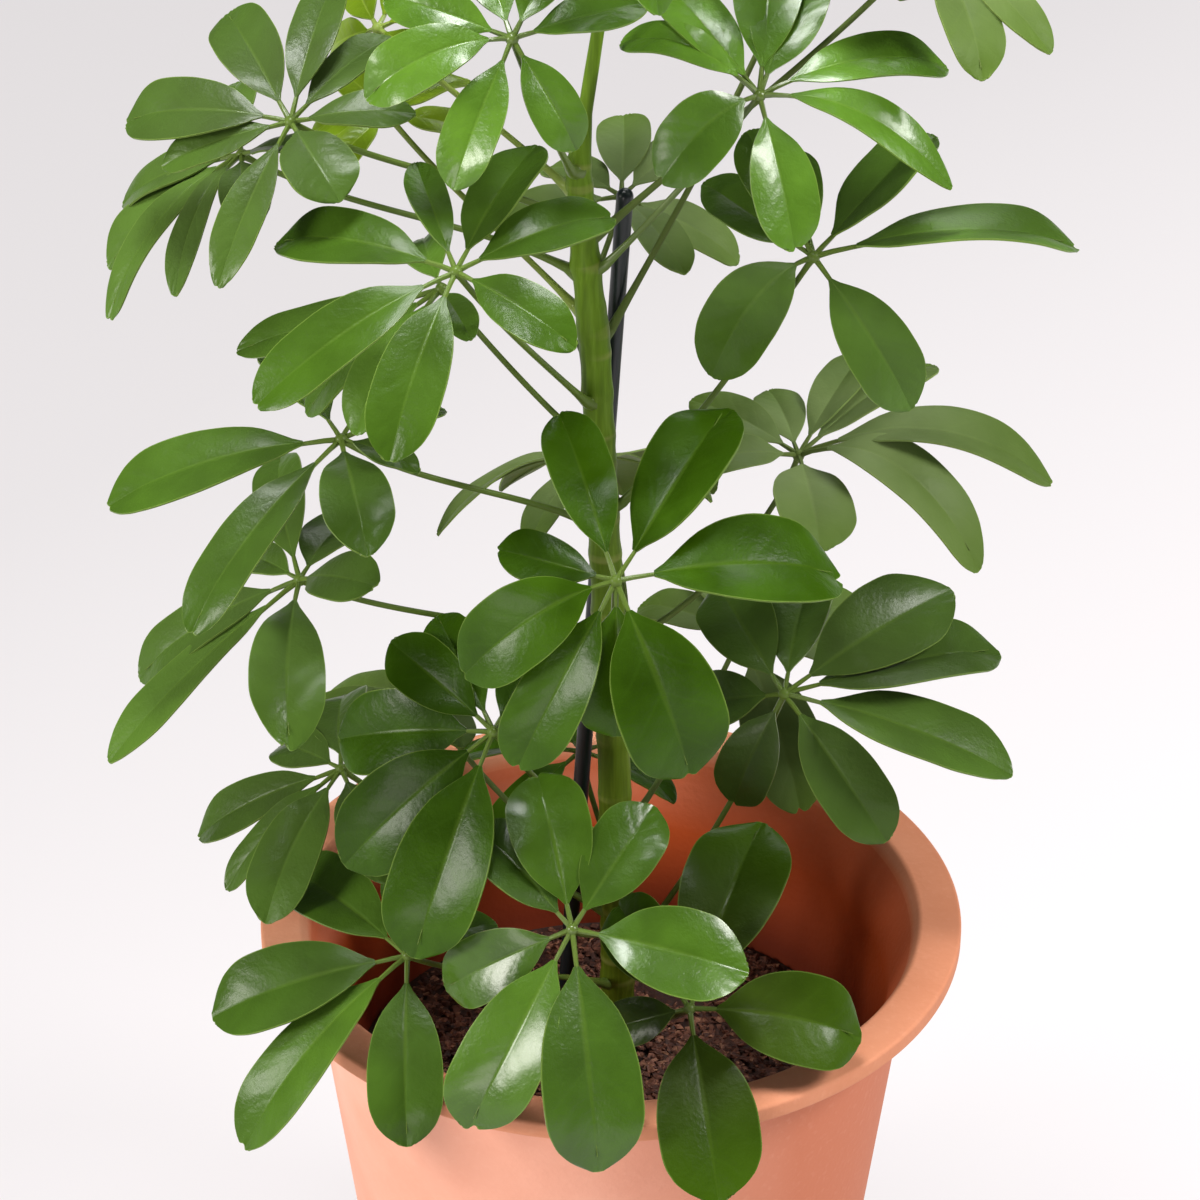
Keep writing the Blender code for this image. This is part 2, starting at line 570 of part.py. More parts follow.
def build_leaf(leaf, green, draw):
    hub = Vector(leaf.hub) * MM
    lean = Matrix.Rotation(math.radians(leaf.tilt), 3, "Y")
    turn = Matrix.Rotation(math.radians(leaf.faces), 3, "Z") @ lean
    axis = turn @ Vector((0, 0, 1))
    line, out = petiole_line(leaf, hub, axis)
    radii = [PETIOLE_FOOT_RADIUS] * 2 + [PETIOLE_RADIUS] * PETIOLE_STEPS
    stalk = tube(leaf.name + "_stalk", line, radii, PETIOLE_SIDES, green, out)
    ball = bmesh.new()
    bmesh.ops.create_icosphere(ball, subdivisions=1, radius=HUB_RADIUS, matrix=Matrix.Translation(hub))
    pieces = [mesh_object(leaf.name + "_hub", ball)]
    for i, sizes in enumerate(leaf.leaflets):
        name = f"{leaf.name}_leaflet_{i}"
        pieces.append(build_leaflet(name, hub, turn, Leaflet(*sizes), draw))
    return joined(stalk, pieces, leaf.name)


def build():
    clear_scene()
    build_pot()
    stem, stem_hole = build_stem()
    stake, stake_hole = build_stake()
    build_soil(stem_hole, stake_hole)
    draw = random.Random(SEED)
    for leaf in LEAVES:
        green = plain_material(leaf.name, (0.07, 0.20, 0.03), 0.35)
        build_leaf(leaf, green, draw)


build()
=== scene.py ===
import math
import random
from functools import partial

import bmesh
import bpy
from mathutils import Matrix, Vector


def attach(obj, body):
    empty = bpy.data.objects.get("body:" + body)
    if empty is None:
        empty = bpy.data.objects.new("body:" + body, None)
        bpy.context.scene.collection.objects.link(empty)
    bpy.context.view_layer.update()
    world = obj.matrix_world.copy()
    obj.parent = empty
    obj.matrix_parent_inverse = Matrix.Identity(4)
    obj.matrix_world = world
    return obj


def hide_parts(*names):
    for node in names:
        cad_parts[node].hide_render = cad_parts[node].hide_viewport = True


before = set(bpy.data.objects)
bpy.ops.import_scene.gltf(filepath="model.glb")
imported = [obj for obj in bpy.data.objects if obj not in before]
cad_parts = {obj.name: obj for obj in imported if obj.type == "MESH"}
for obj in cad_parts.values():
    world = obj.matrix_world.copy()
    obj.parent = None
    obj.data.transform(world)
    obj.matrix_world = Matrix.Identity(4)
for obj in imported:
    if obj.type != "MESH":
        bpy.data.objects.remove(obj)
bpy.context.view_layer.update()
mm = 0.001
upright = Vector((0, 0, 1))


def hexColor(code):
    # sRGB hex to the linear values that shaders take
    parts = [int(code[i:i + 2], 16) / 255 for i in (1, 3, 5)]
    return [p / 12.92 if p <= 0.04045 else ((p + 0.055) / 1.055) ** 2.4 for p in parts] + [1.0]


def feed(node, *values, **named):
    # values go to the inputs in use, in order, and named ones to their own; each is a plain value, a hex
    # colour, a socket, or a node, which stands for its first output in use
    sockets = [socket for socket in node.inputs if socket.enabled][:len(values)]
    sockets += [node.inputs[name.replace("_", " ")] for name in named]
    for socket, value in zip(sockets, (*values, *named.values())):
        if isinstance(value, bpy.types.Node):
            value = next(out for out in value.outputs if out.enabled)
        if isinstance(value, bpy.types.NodeSocket):
            node.id_data.links.new(value, socket)
        else:
            socket.default_value = hexColor(value) if str(value).startswith("#") else value


# Short names of the nodes that come often, each with the setting that a second word gives
nodeKinds = {
    "math": ("ShaderNodeMath", "operation"),
    "vector": ("ShaderNodeVectorMath", "operation"),
    "range": ("ShaderNodeMapRange", "interpolation_type"),
    "mix": ("ShaderNodeMix", "data_type"),
    "attribute": ("ShaderNodeAttribute", "attribute_name"),
    "noise": ("ShaderNodeTexNoise", ""),
    "ramp": ("ShaderNodeValToRGB", ""),
    "split": ("ShaderNodeSeparateXYZ", ""),
    "stretch": ("ShaderNodeMapping", ""),
    "bump": ("ShaderNodeBump", ""),
    "read": ("GeometryNodeInputNamedAttribute", "data_type"),
    "store": ("GeometryNodeStoreNamedAttribute", "data_type"),
    "scatter": ("GeometryNodeInstanceOnPoints", ""),
    "random": ("FunctionNodeRandomValue", "data_type"),
}


def addNode(tree, kind, *values, stops=(), **given):
    # one node: what is given with a capital is an input, and what has none a setting; a sum or product of
    # more than two values takes a node for each step
    word, _, setting = kind.partition(" ")
    while len(values) > 2 and setting in ("ADD", "MULTIPLY"):
        values = (addNode(tree, kind, *values[:2]), *values[2:])
    idName, settingName = nodeKinds.get(word, (word, ""))
    node = tree.nodes.new(idName)
    if setting:
        setattr(node, settingName, setting)
    for name in [name for name in given if name[0].islower()]:
        setattr(node, name, given.pop(name))
    feed(node, *values, **given)
    if stops:
        elements = node.color_ramp.elements
        while len(elements) < len(stops):
            elements.new(0.5)
        for element, (place, color) in zip(elements, stops):
            element.position = place
            element.color = hexColor(color)
    return node


def newFinish(name):
    # a material, what adds its nodes, its shader, and the place in the piece's own coordinates
    made = bpy.data.materials.new(name)
    made.use_nodes = True
    add = partial(addNode, made.node_tree)
    return made, add, made.node_tree.nodes["Principled BSDF"], add("ShaderNodeTexCoord").outputs["Object"]


def newTree(name, sizes):
    # a Geometry Nodes tree with a named input for each size and for the finish
    tree = bpy.data.node_groups.new(name, "GeometryNodeTree")
    face = tree.interface
    face.new_socket("Geometry", in_out="INPUT", socket_type="NodeSocketGeometry")
    for label, value in sizes.items():
        kind = "NodeSocketInt" if isinstance(value, int) else "NodeSocketFloat"
        face.new_socket(label, in_out="INPUT", socket_type=kind).default_value = value
    face.new_socket("Finish", in_out="INPUT", socket_type="NodeSocketMaterial")
    face.new_socket("Geometry", in_out="OUTPUT", socket_type="NodeSocketGeometry")
    add = partial(addNode, tree)
    return tree, add, add("NodeGroupInput").outputs


def growOn(thing, tree, finish):
    # the tree as the thing's modifier, with its finish set by the socket's identifier
    grown = thing.modifiers.new(tree.name, "NODES")
    grown.node_group = tree
    ids = {s.name: s.identifier for s in tree.interface.items_tree if s.in_out == "INPUT"}
    grown[ids["Finish"]] = finish


def addObject(name, data):
    made = bpy.data.objects.new(name, data)
    bpy.context.scene.collection.objects.link(made)
    return made


def linkMesh(name, shape, materials):
    mesh = bpy.data.meshes.new(name)
    shape.to_mesh(mesh)
    shape.free()
    for material in materials:
        mesh.materials.append(material)
    mesh.shade_smooth()
    return addObject(name, mesh)


def settled(thing, name):
    # the thing with its modifiers applied, as a plain mesh at the origin
    graph = bpy.context.evaluated_depsgraph_get()
    mesh = bpy.data.meshes.new_from_object(
        thing.evaluated_get(graph), preserve_all_data_layers=True, depsgraph=graph)
    mesh.name = name
    bpy.data.objects.remove(thing, do_unlink=True)
    return addObject(name, mesh)


def circle(shape, radius, height, sides):
    return [shape.verts.new((radius * math.cos(2 * math.pi * k / sides),
                             radius * math.sin(2 * math.pi * k / sides), height)) for k in range(sides)]


def bridge(shape, rings):
    # walls between neighbouring rings; a ring of one point closes an end
    faces = []
    for low, high in zip(rings, rings[1:]):
        for k in range(max(len(low), len(high))):
            corners = [ring[i % len(ring)] for ring, i in ((low, k), (low, k + 1), (high, k + 1), (high, k))]
            faces.append(shape.faces.new(list(dict.fromkeys(corners))))
    return faces


def sweep(shape, centres, radii, sides, finish=0, start=None):
    # a closed round tube along the centres, with one radius for each
    rings = []
    side = (start or Vector((1, 0, 0))).copy()
    for i, centre in enumerate(centres):
        along = (centres[min(i + 1, len(centres) - 1)] - centres[max(i - 1, 0)]).normalized()
        side = (side - along * side.dot(along)).normalized()
        across = along.cross(side)
        turns = [2 * math.pi * k / sides for k in range(sides)]
        rings.append([shape.verts.new(centre + (side * math.cos(t) + across * math.sin(t)) * radii[i])
                      for t in turns])
    foot, head = ([shape.verts.new(centres[i])] for i in (0, -1))
    faces = bridge(shape, rings) + bridge(shape, [foot, rings[0]]) + bridge(shape, [rings[-1], head])
    for face in faces:
        face.material_index = finish
        face.smooth = True
    return rings


# Camera: a long lens 1.2 m from the plant, looking down at it
camera = {"place": (-0.0036, -1.0297, 0.9291), "lookDown": 30.9, "lens": 114.9, "sensor": 36, "farClip": 50}
lens = bpy.data.cameras.new("camera")
lens.lens = camera["lens"]
lens.sensor_width = camera["sensor"]
lens.clip_end = camera["farClip"]
viewer = addObject("camera", lens)
viewer.location = camera["place"]
viewer.rotation_euler = (math.radians(90 - camera["lookDown"]), 0, 0)
bpy.context.scene.camera = viewer
bpy.context.scene.view_settings.view_transform = "Standard"
print("camera ready")

# Studio: a backlit white table, soft boxes at the left, right and top, low front light, and a back
# light for gloss
studio = {
    "skyColor": "#f4f1f3", "skyStrength": 0.28, "skyGloss": 0.05, "tableGlow": (0.59, 0.86), "tableHalf": 8,
    "lights": {
        "left": dict(place=(-1.9, -0.8, 1.0), aim=(0, 0, 0.25), size=0.7, watts=36, color="#fffaf4"),
        "right": dict(place=(1.5, -0.3, 1.6), aim=(0, 0, 0.3), size=0.6, watts=34, color="#fffcfa"),
        "front": dict(place=(-0.7, -2.2, 0.25), aim=(0, 0, 0.08), size=0.9, watts=12, color="#fff6f2"),
        "back": dict(place=(0.3, 1.6, 1.8), aim=(0, 0, 0.4), size=0.9, watts=8, color="#ffffff"),
        "top": dict(place=(-0.2, -0.1, 1.9), aim=(0, 0, 0.3), size=0.5, watts=26, color="#ffffff"),
    },
}
for name, plan in studio["lights"].items():
    glow = bpy.data.lights.new(name, "AREA")
    glow.shape = "DISK"
    glow.size = plan["size"]
    glow.energy = plan["watts"]
    glow.color = hexColor(plan["color"])[:3]
    lamp = addObject(name, glow)
    lamp.location = plan["place"]
    lamp.rotation_euler = (Vector(plan["aim"]) - Vector(plan["place"])).to_track_quat("-Z", "Y").to_euler()
sky = bpy.data.worlds.new("studio")
sky.use_nodes = True
# the ceiling is dark in reflections, so the leaves keep their depth and only the soft boxes shine on them
ray = addNode(sky.node_tree, "ShaderNodeLightPath").outputs["Is Glossy Ray"]
skyLevel = addNode(sky.node_tree, "range", ray, 0, 1, studio["skyStrength"], studio["skyGloss"])
feed(sky.node_tree.nodes["Background"], Color=studio["skyColor"], Strength=skyLevel)
bpy.context.scene.world = sky

# Backlit acrylic table: matte white, glowing a little more at the front right, so no shadow is hard
matteFloor, add, shader, place = newFinish("backlitWhiteTable")
slant = add("vector DOT_PRODUCT", place, (0.8, -0.6, 0.0))
feed(shader, Base_Color="#6e6c6d", Roughness=0.9, Specular_IOR_Level=0.1, Emission_Color="#fffbfc",
     Emission_Strength=add("range", slant, -0.6, 0.3, *studio["tableGlow"]))
floorSheet = bmesh.new()
bmesh.ops.create_grid(floorSheet, x_segments=1, y_segments=1, size=studio["tableHalf"])
floor = linkMesh("floor", floorSheet, [matteFloor])
print("studio ready")

# Leaves: lengths in metres, angles in degrees
leafForm = {
    "blade": {"Across": 19, "Along": 32, "Tip Crowd": 1.45, "Stalk Share": 0.15, "Trough": 0.30,
              "Edge Fall": 0.14, "Ripple": 0.55 * mm, "Quilt": 0.08 * mm, "Veins": 8.0},
    "veinSlant": -1.9, "thickness": 0.6 * mm, "sharpEdge": 55, "arch": 16, "seed": 47,
    # what chance gives each leaflet, from and to; notch, bendOut and curl are shares of half width
    "roll": (2, 9), "widths": (0.97, 1.03),
    "chances": {"twist": (-4, 8), "phase": (0, 6.28), "notch": (-0.264, 0.176), "notchAt": (-0.5, 0.5),
                "bendOut": (-0.16, 0.16), "pointed": (-1.0, 0.7), "curl": (0.0, 0.22)},
    # the rib under a blade: its steps, where it ends, and how deep it hangs
    "rib": (14, 0.93, 0.5 * mm),
    # the leaf's stalk, its swollen ends, and how it sets out from the stem and comes to the hub
    "stalkRadius": 1.0 * mm, "footRadius": 3.5 * mm, "footFlare": 0.055, "headSwelling": 0.35 * mm,
    "hubRadius": 2.0 * mm, "petioleBend": (42, 0.3), "petioleReach": 0.34, "petioleSteps": 26,
}
# Half width along the blade, as a share of its widest: wedge-shaped at the base, round at the tip
bladeOutline = ((0.0, 0.06), (0.05, 0.18), (0.13, 0.45), (0.26, 0.76), (0.40, 0.93), (0.56, 1.0),
                (0.72, 0.98), (0.84, 0.85), (0.92, 0.65), (0.97, 0.43), (1.0, 0.22))
# What each leaflet's point carries for its blade
leafletVectors = ("hub", "knee", "tip", "side")
leafletNumbers = ("halfWidth", "roll", "twist", "phase", "notch", "notchAt", "bendOut", "pointed", "curl")
leafletTones = ("leafletTint", "fresh", "dust")
# Main stem: x, y, height and radius in mm
stemLine = ((3, 0, 62, 5.4), (2, 0, 200, 5.3), (1, 0, 250, 5.2), (-2, 0, 330, 4.9), (-5, 0, 400, 4.6),
            (-8, 0, 432, 4.3), (-10, 0, 460, 3.7), (-8, 0, 478, 2.2), (-4, 0, 505, 1.9), (0, 0, 532, 1.7),
            (3, 0, 560, 1.3))
# Each leaf: hub in mm, tilt and the way that it faces, the height where its stalk leaves the stem, how
# fresh its green is, a share that also holds painted light and shade for how lit the leaf is, how much
# dust and painted sheen grey it, its finish, and its leaflets as (bearing, length, width, droop, how
# far the blade turns up to the light, how much more it arches straight up as a share of its length);
# what is nothing is left out: the two shares, and a leaflet's last two
leafPlan = {
    "leaf_left_top": dict(hub=(-92, -20, 484), tilt=35, faces=255, growsAt=446, fresh=0.1, dust=0.45,
        finish="satin", leaflets=((272, 53, 21, 7, 0.2, 0.06), (219, 52, 19, 9, 0.2), (181, 51, 15, 5, 0.2),
        (157, 48, 14, 19, 0.2), (105, 36, 14, 5, 0.2), (41, 33, 21, -4, 0.2), (348, 53, 14, 10, 0.9),
        (295, 40, 13, 6, 0.2))),
    "leaf_left_top_under": dict(hub=(-110, 15, 458), tilt=29, faces=197, growsAt=428, fresh=0.3, dust=0.5,
        finish="satin", leaflets=((355, 54, 21, 9, 0.3), (19, 64, 13, 9, 0.3, 0.12),
        (42, 52, 11, 10, 0.3, 0.15), (330, 46, 18, 3, 0.3), (79, 38, 15, 4, 0.3), (124, 38, 14, -4, 0.3),
        (255, 41, 16, -4, 0.3))),
    "leaf_centre_top": dict(hub=(-28, -38, 517), tilt=51, faces=272, growsAt=462, fresh=0.6, dust=0.15,
        finish="waxy", leaflets=((289, 45, 18, 10, 0.3, 0.19), (337, 45, 17, 10, 0.8), (31, 36, 15, 18),
        (109, 42, 16, 15, 0.5), (154, 38, 15, 18), (196, 38, 15, 22), (246, 40, 15, 14))),
    "leaf_left_upper": dict(hub=(-44, -60, 456), tilt=32, faces=250, growsAt=386, dust=0.15, finish="satin",
        leaflets=((267, 59, 21, 4, 0.5, 0.05), (317, 68, 20, 6, 0, 0.03), (357, 59, 21, 9, 0.2),
        (68, 44, 17, 2, -0.2), (131, 49, 20, 9, 0.2), (169, 48, 20, 3, 1), (215, 44, 12, 5, 1))),
    "leaf_left_upper_under": dict(hub=(-50, -20, 431), tilt=27, faces=208, growsAt=372, fresh=0.7, dust=0.35,
        finish="satin", leaflets=((325, 69, 16, 0, 0.3, -0.12), (352, 55, 22, 12, 0.3), (22, 52, 18, 10, 0.3),
        (255, 40, 15, 10, 0.3), (80, 28, 11, 1, 0.3))),
    "leaf_left_middle": dict(hub=(-80, -35, 389), tilt=17, faces=235, growsAt=343, fresh=0.1, dust=0.25,
        finish="satin", leaflets=((312, 73, 24, 4, -0.3), (352, 74, 18, 16), (45, 49, 21, 3, 0.3),
        (240, 58, 18, 4, 1.1), (95, 27, 11, 10, 0.3), (150, 34, 16, 10, 0.3), (196, 49, 18, 16, 0.3))),
    "leaf_left_lower": dict(hub=(-96, -15, 329), tilt=30, faces=205, growsAt=296, fresh=0.4, dust=0.45,
        finish="satin", leaflets=((3, 81, 18, 5, -0.3, -0.08), (341, 63, 20, 5, -0.3), (57, 62, 24, 9, 1),
        (115, 41, 18, -10, -0.2), (250, 58, 18, -5, 0.3), (283, 40, 14, 11, 0.3), (222, 42, 19, 20, 1))),
    "leaf_centre_front": dict(hub=(1, -68, 360), tilt=55, faces=272, growsAt=284, finish="satin",
        leaflets=((196, 59, 20, 21, 1), (147, 68, 30, 17, 0.8), (92, 73, 34, 17, 0.5, 0.1),
        (21, 65, 32, 18, 0, 0.04), (331, 65, 23, 18, 0.7), (300, 55, 25, 18, 0.1, 0.2),
        (252, 39, 17, 22, 0.6), (0, 50, 24, 26, 0.2))),
    "leaf_right_top": dict(hub=(42, -15, 490), tilt=46, faces=274, growsAt=430, fresh=1, dust=0.2,
        finish="waxy", leaflets=((240, 46, 13, 16, 0.4, 0.25), (212, 49, 18, 13, 0.8), (172, 56, 21, 9, 0.3),
        (102, 60, 18, 12, 0.3, 0.16), (65, 62, 15, 10, 0.3, 0.24), (11, 46, 20, 11, 0.3),
        (308, 38, 20, 11, -0.2, 0.25), (158, 45, 21, 8, 0.3))),
    "leaf_right_upper": dict(hub=(59, -15, 439), tilt=58, faces=262, growsAt=349, fresh=0.6, dust=0.35,
        finish="satin", leaflets=((319, 55, 23, 33, 0, 0.3), (37, 58, 21, 27, 0.1, 0.06),
        (98, 81, 33, 15, 1, 0.13), (143, 54, 27, 15, 1), (238, 48, 17, 25, 0.6), (212, 44, 18, 9, 0.6),
        (197, 40, 14, 29, 0.6))),
    "leaf_right_middle": dict(hub=(59, 30, 348), tilt=18, faces=286, growsAt=296, fresh=0.85, finish="dusty",
        leaflets=((70, 81, 26, -1, 0.6, 0.23), (41, 69, 22, 6, 0, 0.4), (350, 48, 25, -9, 0.2),
        (118, 61, 23, -5, 1.1), (178, 36, 15, 9, 0.4), (275, 40, 15, -10, 0.4), (216, 43, 16, 7, 0.4),
        (138, 53, 17, -4, 1.1))),
    "leaf_right_lower": dict(hub=(55, 0, 278), tilt=45, faces=249, growsAt=182, fresh=0.15, dust=0.4,
        finish="satin", leaflets=((86, 78, 32, 22, 0.8, 0.06), (47, 58, 23, 27, 0.2, 0.06),
        (338, 44, 20, 33, -0.3), (142, 68, 29, 22, -0.3), (122, 76, 31, 26, 0.7), (188, 51, 21, 26, 0.3),
        (226, 54, 24, 18, 0.3), (280, 45, 20, 33, 0.3))),
    "leaf_left_base": dict(hub=(-36, -50, 296), tilt=38, faces=265, growsAt=226, finish="satin",
        leaflets=((266, 57, 26, 26, -0.3), (309, 64, 28, 24, -0.3), (342, 74, 30, 19, 1), (229, 48, 20, 10),
        (208, 48, 16, 12), (160, 36, 15, 20))),
    "leaf_left_base_outer": dict(hub=(-86, -10, 256), tilt=26, faces=216, growsAt=196, fresh=0.1, dust=0.4,
        finish="satin", leaflets=((323, 58, 19, 12, -0.3, -0.04), (23, 57, 21, 7, 1), (352, 54, 12, 14, 0.2),
        (238, 47, 20, 14, 0.2), (279, 36, 17, 10, 0.2), (72, 49, 20, 9, 0.2))),
    "leaf_left_rim": dict(hub=(-63, -72, 228), tilt=28, faces=261, growsAt=168, fresh=0.2, dust=0.2,
        finish="satin", leaflets=((288, 66, 27, 14, 0.3), (321, 79, 24, 22, 1.1, 0.08), (7, 59, 24, 19, 0.2),
        (232, 66, 25, 21, 0.4), (190, 43, 17, 18), (125, 31, 13, 12))),
    "leaf_front_base": dict(hub=(-12, -90, 251), tilt=41, faces=273, growsAt=188, fresh=0.15, dust=0.1,
        finish="waxy", leaflets=((190, 51, 26, 3), (145, 46, 22, 0), (75, 55, 27, 4, -0.1),
        (5, 74, 31, 17, 1.1), (329, 70, 28, 21, 0.9), (286, 49, 21, 33, -0.2), (219, 45, 20, 8, 0.5))),
    "leaf_right_base": dict(hub=(24, -83, 216), tilt=43, faces=262, growsAt=150, finish="shaded",
        leaflets=((166, 67, 33, 10, -0.1), (87, 55, 28, 10, -0.2, 0.08), (14, 61, 31, -3, 0.2),
        (284, 30, 15, 26), (219, 45, 22, 14))),
    "leaf_young_left_top": dict(hub=(-69, 25, 494), tilt=42, faces=230, growsAt=455, fresh=1, finish="young",
        leaflets=((240, 31, 12, 20), (190, 30, 12, 15), (80, 25, 10, 5), (285, 30, 13, 30),
        (135, 28, 11, 10))),
    "leaf_young_left_back": dict(hub=(-67, 30, 464), tilt=26, faces=240, growsAt=415, fresh=1, finish="young",
        leaflets=((159, 31, 12, 18), (280, 31, 12, 20), (240, 30, 12, 10), (195, 29, 12, 10),
        (340, 24, 11, 5), (100, 30, 12, 10))),
    "leaf_back_top": dict(hub=(3, 48, 429), tilt=20, faces=277, growsAt=400, fresh=0.9, finish="dusty",
        leaflets=((172, 40, 17, 5), (135, 39, 16, 7), (22, 40, 15, -4), (210, 41, 16, 25), (265, 40, 16, 20),
        (65, 42, 18, 20))),
    "leaf_back_middle": dict(hub=(-5, 40, 343), tilt=30, faces=95, growsAt=300, fresh=1, finish="dusty",
        leaflets=((88, 57, 17, 24, 0.25, 0.15), (345, 48, 20, 15), (40, 46, 14, 12), (300, 48, 20, 15),
        (138, 46, 13, 38, 0.3), (228, 48, 19, 20))),
    "leaf_back_lower_right": dict(hub=(43, 58, 264), tilt=18, faces=274, growsAt=228, fresh=0.5,
        finish="dusty", leaflets=((18, 63, 27, 28), (76, 50, 20, 4), (108, 48, 20, 4), (150, 48, 18, 6),
        (190, 48, 19, 8), (232, 42, 17, 14))),
    "leaf_back_lower_left": dict(hub=(-62, 50, 244), tilt=12, faces=120, growsAt=205, finish="dusty",
        leaflets=((60, 48, 19, 6), (20, 49, 20, 8), (330, 49, 19, 14), (170, 40, 16, 4), (120, 44, 18, 0),
        (275, 44, 17, 10))),
    "leaf_back_base": dict(hub=(-10, 46, 226), tilt=12, faces=97, growsAt=165, fresh=0.2, finish="satin",
        leaflets=((10, 50, 20, 8), (70, 48, 18, 8), (118, 43, 18, 34), (222, 42, 16, 10), (300, 49, 19, 10))),
    "leaf_right_crown": dict(hub=(92, 15, 526), tilt=29, faces=287, growsAt=440, fresh=0.5, finish="dusty",
        leaflets=((0, 51, 19, 1), (27, 50, 15, 2), (318, 24, 10, 8), (284, 42, 16, -2), (190, 47, 19, 4),
        (156, 50, 19, 0), (113, 50, 21, 0), (70, 49, 21, 6))),
    "leaf_right_crown_back": dict(hub=(61, 45, 526), tilt=27, faces=82, growsAt=406, fresh=0.7,
        finish="dusty", leaflets=((0, 46, 19, 8), (50, 46, 19, 8), (100, 46, 19, 6), (152, 44, 17, 4),
        (205, 44, 18, 6), (256, 44, 18, 36), (306, 45, 19, 10))),
    "leaf_crown_front": dict(hub=(4, -42, 572), tilt=45, faces=285, growsAt=534, fresh=0.8, finish="waxy",
        leaflets=((5, 44, 17, 20), (50, 43, 17, 20), (95, 44, 17, 20), (145, 40, 17, 20), (190, 38, 15, 20),
        (240, 42, 18, 20), (310, 44, 17, 20))),
    "leaf_crown_left": dict(hub=(-38, 12, 560), tilt=35, faces=175, growsAt=532, fresh=0.8, finish="waxy",
        leaflets=((0, 42, 17, 18), (50, 42, 16, 18), (100, 40, 17, 18), (155, 38, 14, 18), (210, 40, 16, 18),
        (260, 41, 17, 18), (310, 42, 18, 18))),
    "leaf_crown_back": dict(hub=(16, 44, 566), tilt=38, faces=75, growsAt=545, fresh=0.8, finish="waxy",
        leaflets=((20, 42, 17, 18), (70, 42, 18, 18), (120, 40, 17, 18), (170, 38, 16, 18), (225, 40, 16, 18),
        (280, 41, 17, 18), (330, 42, 18, 18))),
    "leaf_crown_tip": dict(hub=(18, 0, 594), tilt=15, faces=330, growsAt=556, fresh=1, finish="waxy",
        leaflets=((10, 34, 14, 12), (80, 32, 14, 12), (155, 33, 14, 12), (225, 32, 13, 12),
        (300, 34, 14, 12))),
}
# Stalks that set out sideways, clear of the stake, in degrees round the stem
stalkSides = {
    "leaf_back_lower_left": 192,
    "leaf_back_lower_right": 30,
    "leaf_back_middle": 40,
    "leaf_back_top": 130,
    "leaf_back_base": 40,
}
# Stalks that bend more than the rest: rise of the first stretch, and how strongly both ends follow it
stalkBends = {"leaf_right_middle": (4, 0.75)}


def leafFinish(name, look):
    # Living waxy leaf: smooth cuticle over faint netted veins, so highlights are soft and slightly broken
    made, add, shader, place = newFinish(name)
    u, v, _ = add("split", add("ShaderNodeUVMap", uv_map="bladeMap")).outputs
    fromRib = add("math ABSOLUTE", add("math MULTIPLY_ADD", u, 2.0, -1.0))
    tint, fresh, dust = (add("attribute " + tone).outputs["Fac"] for tone in leafletTones)
    # 55 per metre is one cloud of tint every 18 mm, 240 a dimple every 4 mm, 900 pores every millimetre
    cloud, dimple, fine = (add("noise", Vector=place, Scale=scale, Detail=detail)
                           for scale, detail in ((55.0, 3.0), (240.0, 3.0), (900.0, 2.0)))
    mixed = add("math MULTIPLY_ADD", tint, 0.45, add("math ADD", cloud, -0.25))
    # old leaves are dark and young ones fresh green, and dust greys them; the fresh share is also painted
    # light and shade, set per leaf for how lit it is, and the dust share is also painted sheen, a grey veil
    # of reflection
    old, new = (add("ramp", mixed, stops=tuple(zip((0.15, 0.45, 0.75), look[age])))
                for age in ("old", "fresh"))
    color = add("mix RGBA", dust, add("mix RGBA", fresh, old, new), look["dustAndSheenColor"])
    # towards the tip the blade is thinner and its green purer
    color = add("mix RGBA", add("range", v, 0.30, 1.0, 0.0, look["tip"]), color, look["tipColor"])
    # side veins run out from the rib at a slant, one pair every 7 mm or so
    slant = add("math MULTIPLY", fromRib, leafForm["veinSlant"])
    slant = add("math MULTIPLY_ADD", v, leafForm["blade"]["Veins"], slant)
    wave = add("math PINGPONG", add("math MULTIPLY_ADD", cloud, 0.5, slant), 1.0)
    vein = add("math MULTIPLY", add("range", wave, 0.0, 0.16, 1.0, 0.0),
               add("range", fromRib, 0.55, 0.92, 1.0, 0.0))
    ribShare = add("math DIVIDE", fromRib, add("range", v, 0.0, 1.0, 0.15, 0.016))
    rib = add("range", ribShare, 0.35, 1.0, 1.0, 0.0)
    ribFade = add("range", v, 0.1, 0.95, look["rib"], look["rib"] * 0.3)
    edge = add("math MAXIMUM", add("range", fromRib, 0.968, 0.99), add("range", v, 0.994, 0.999))
    for share, strength, tone in ((vein, look["vein"], look["veinColor"]), (rib, ribFade, look["ribColor"]),
                                  (edge, look["edge"], look["edgeColor"])):
        color = add("mix RGBA", add("math MULTIPLY", share, strength), color, tone)
    height = add("math MULTIPLY_ADD", dimple, 2.2, fine)
    height = add("math MULTIPLY_ADD", vein, -0.15, height)
    height = add("math MULTIPLY_ADD", rib, -0.5, height)
    feed(shader, Base_Color=color, Roughness=add("range", cloud, 0.3, 0.7, *look["gloss"]),
         Normal=add("bump", Height=height, Strength=look["relief"], Distance=0.0003),
         Specular_IOR_Level=look["shine"], Coat_Weight=look["coat"], Coat_Roughness=0.20)
    return made


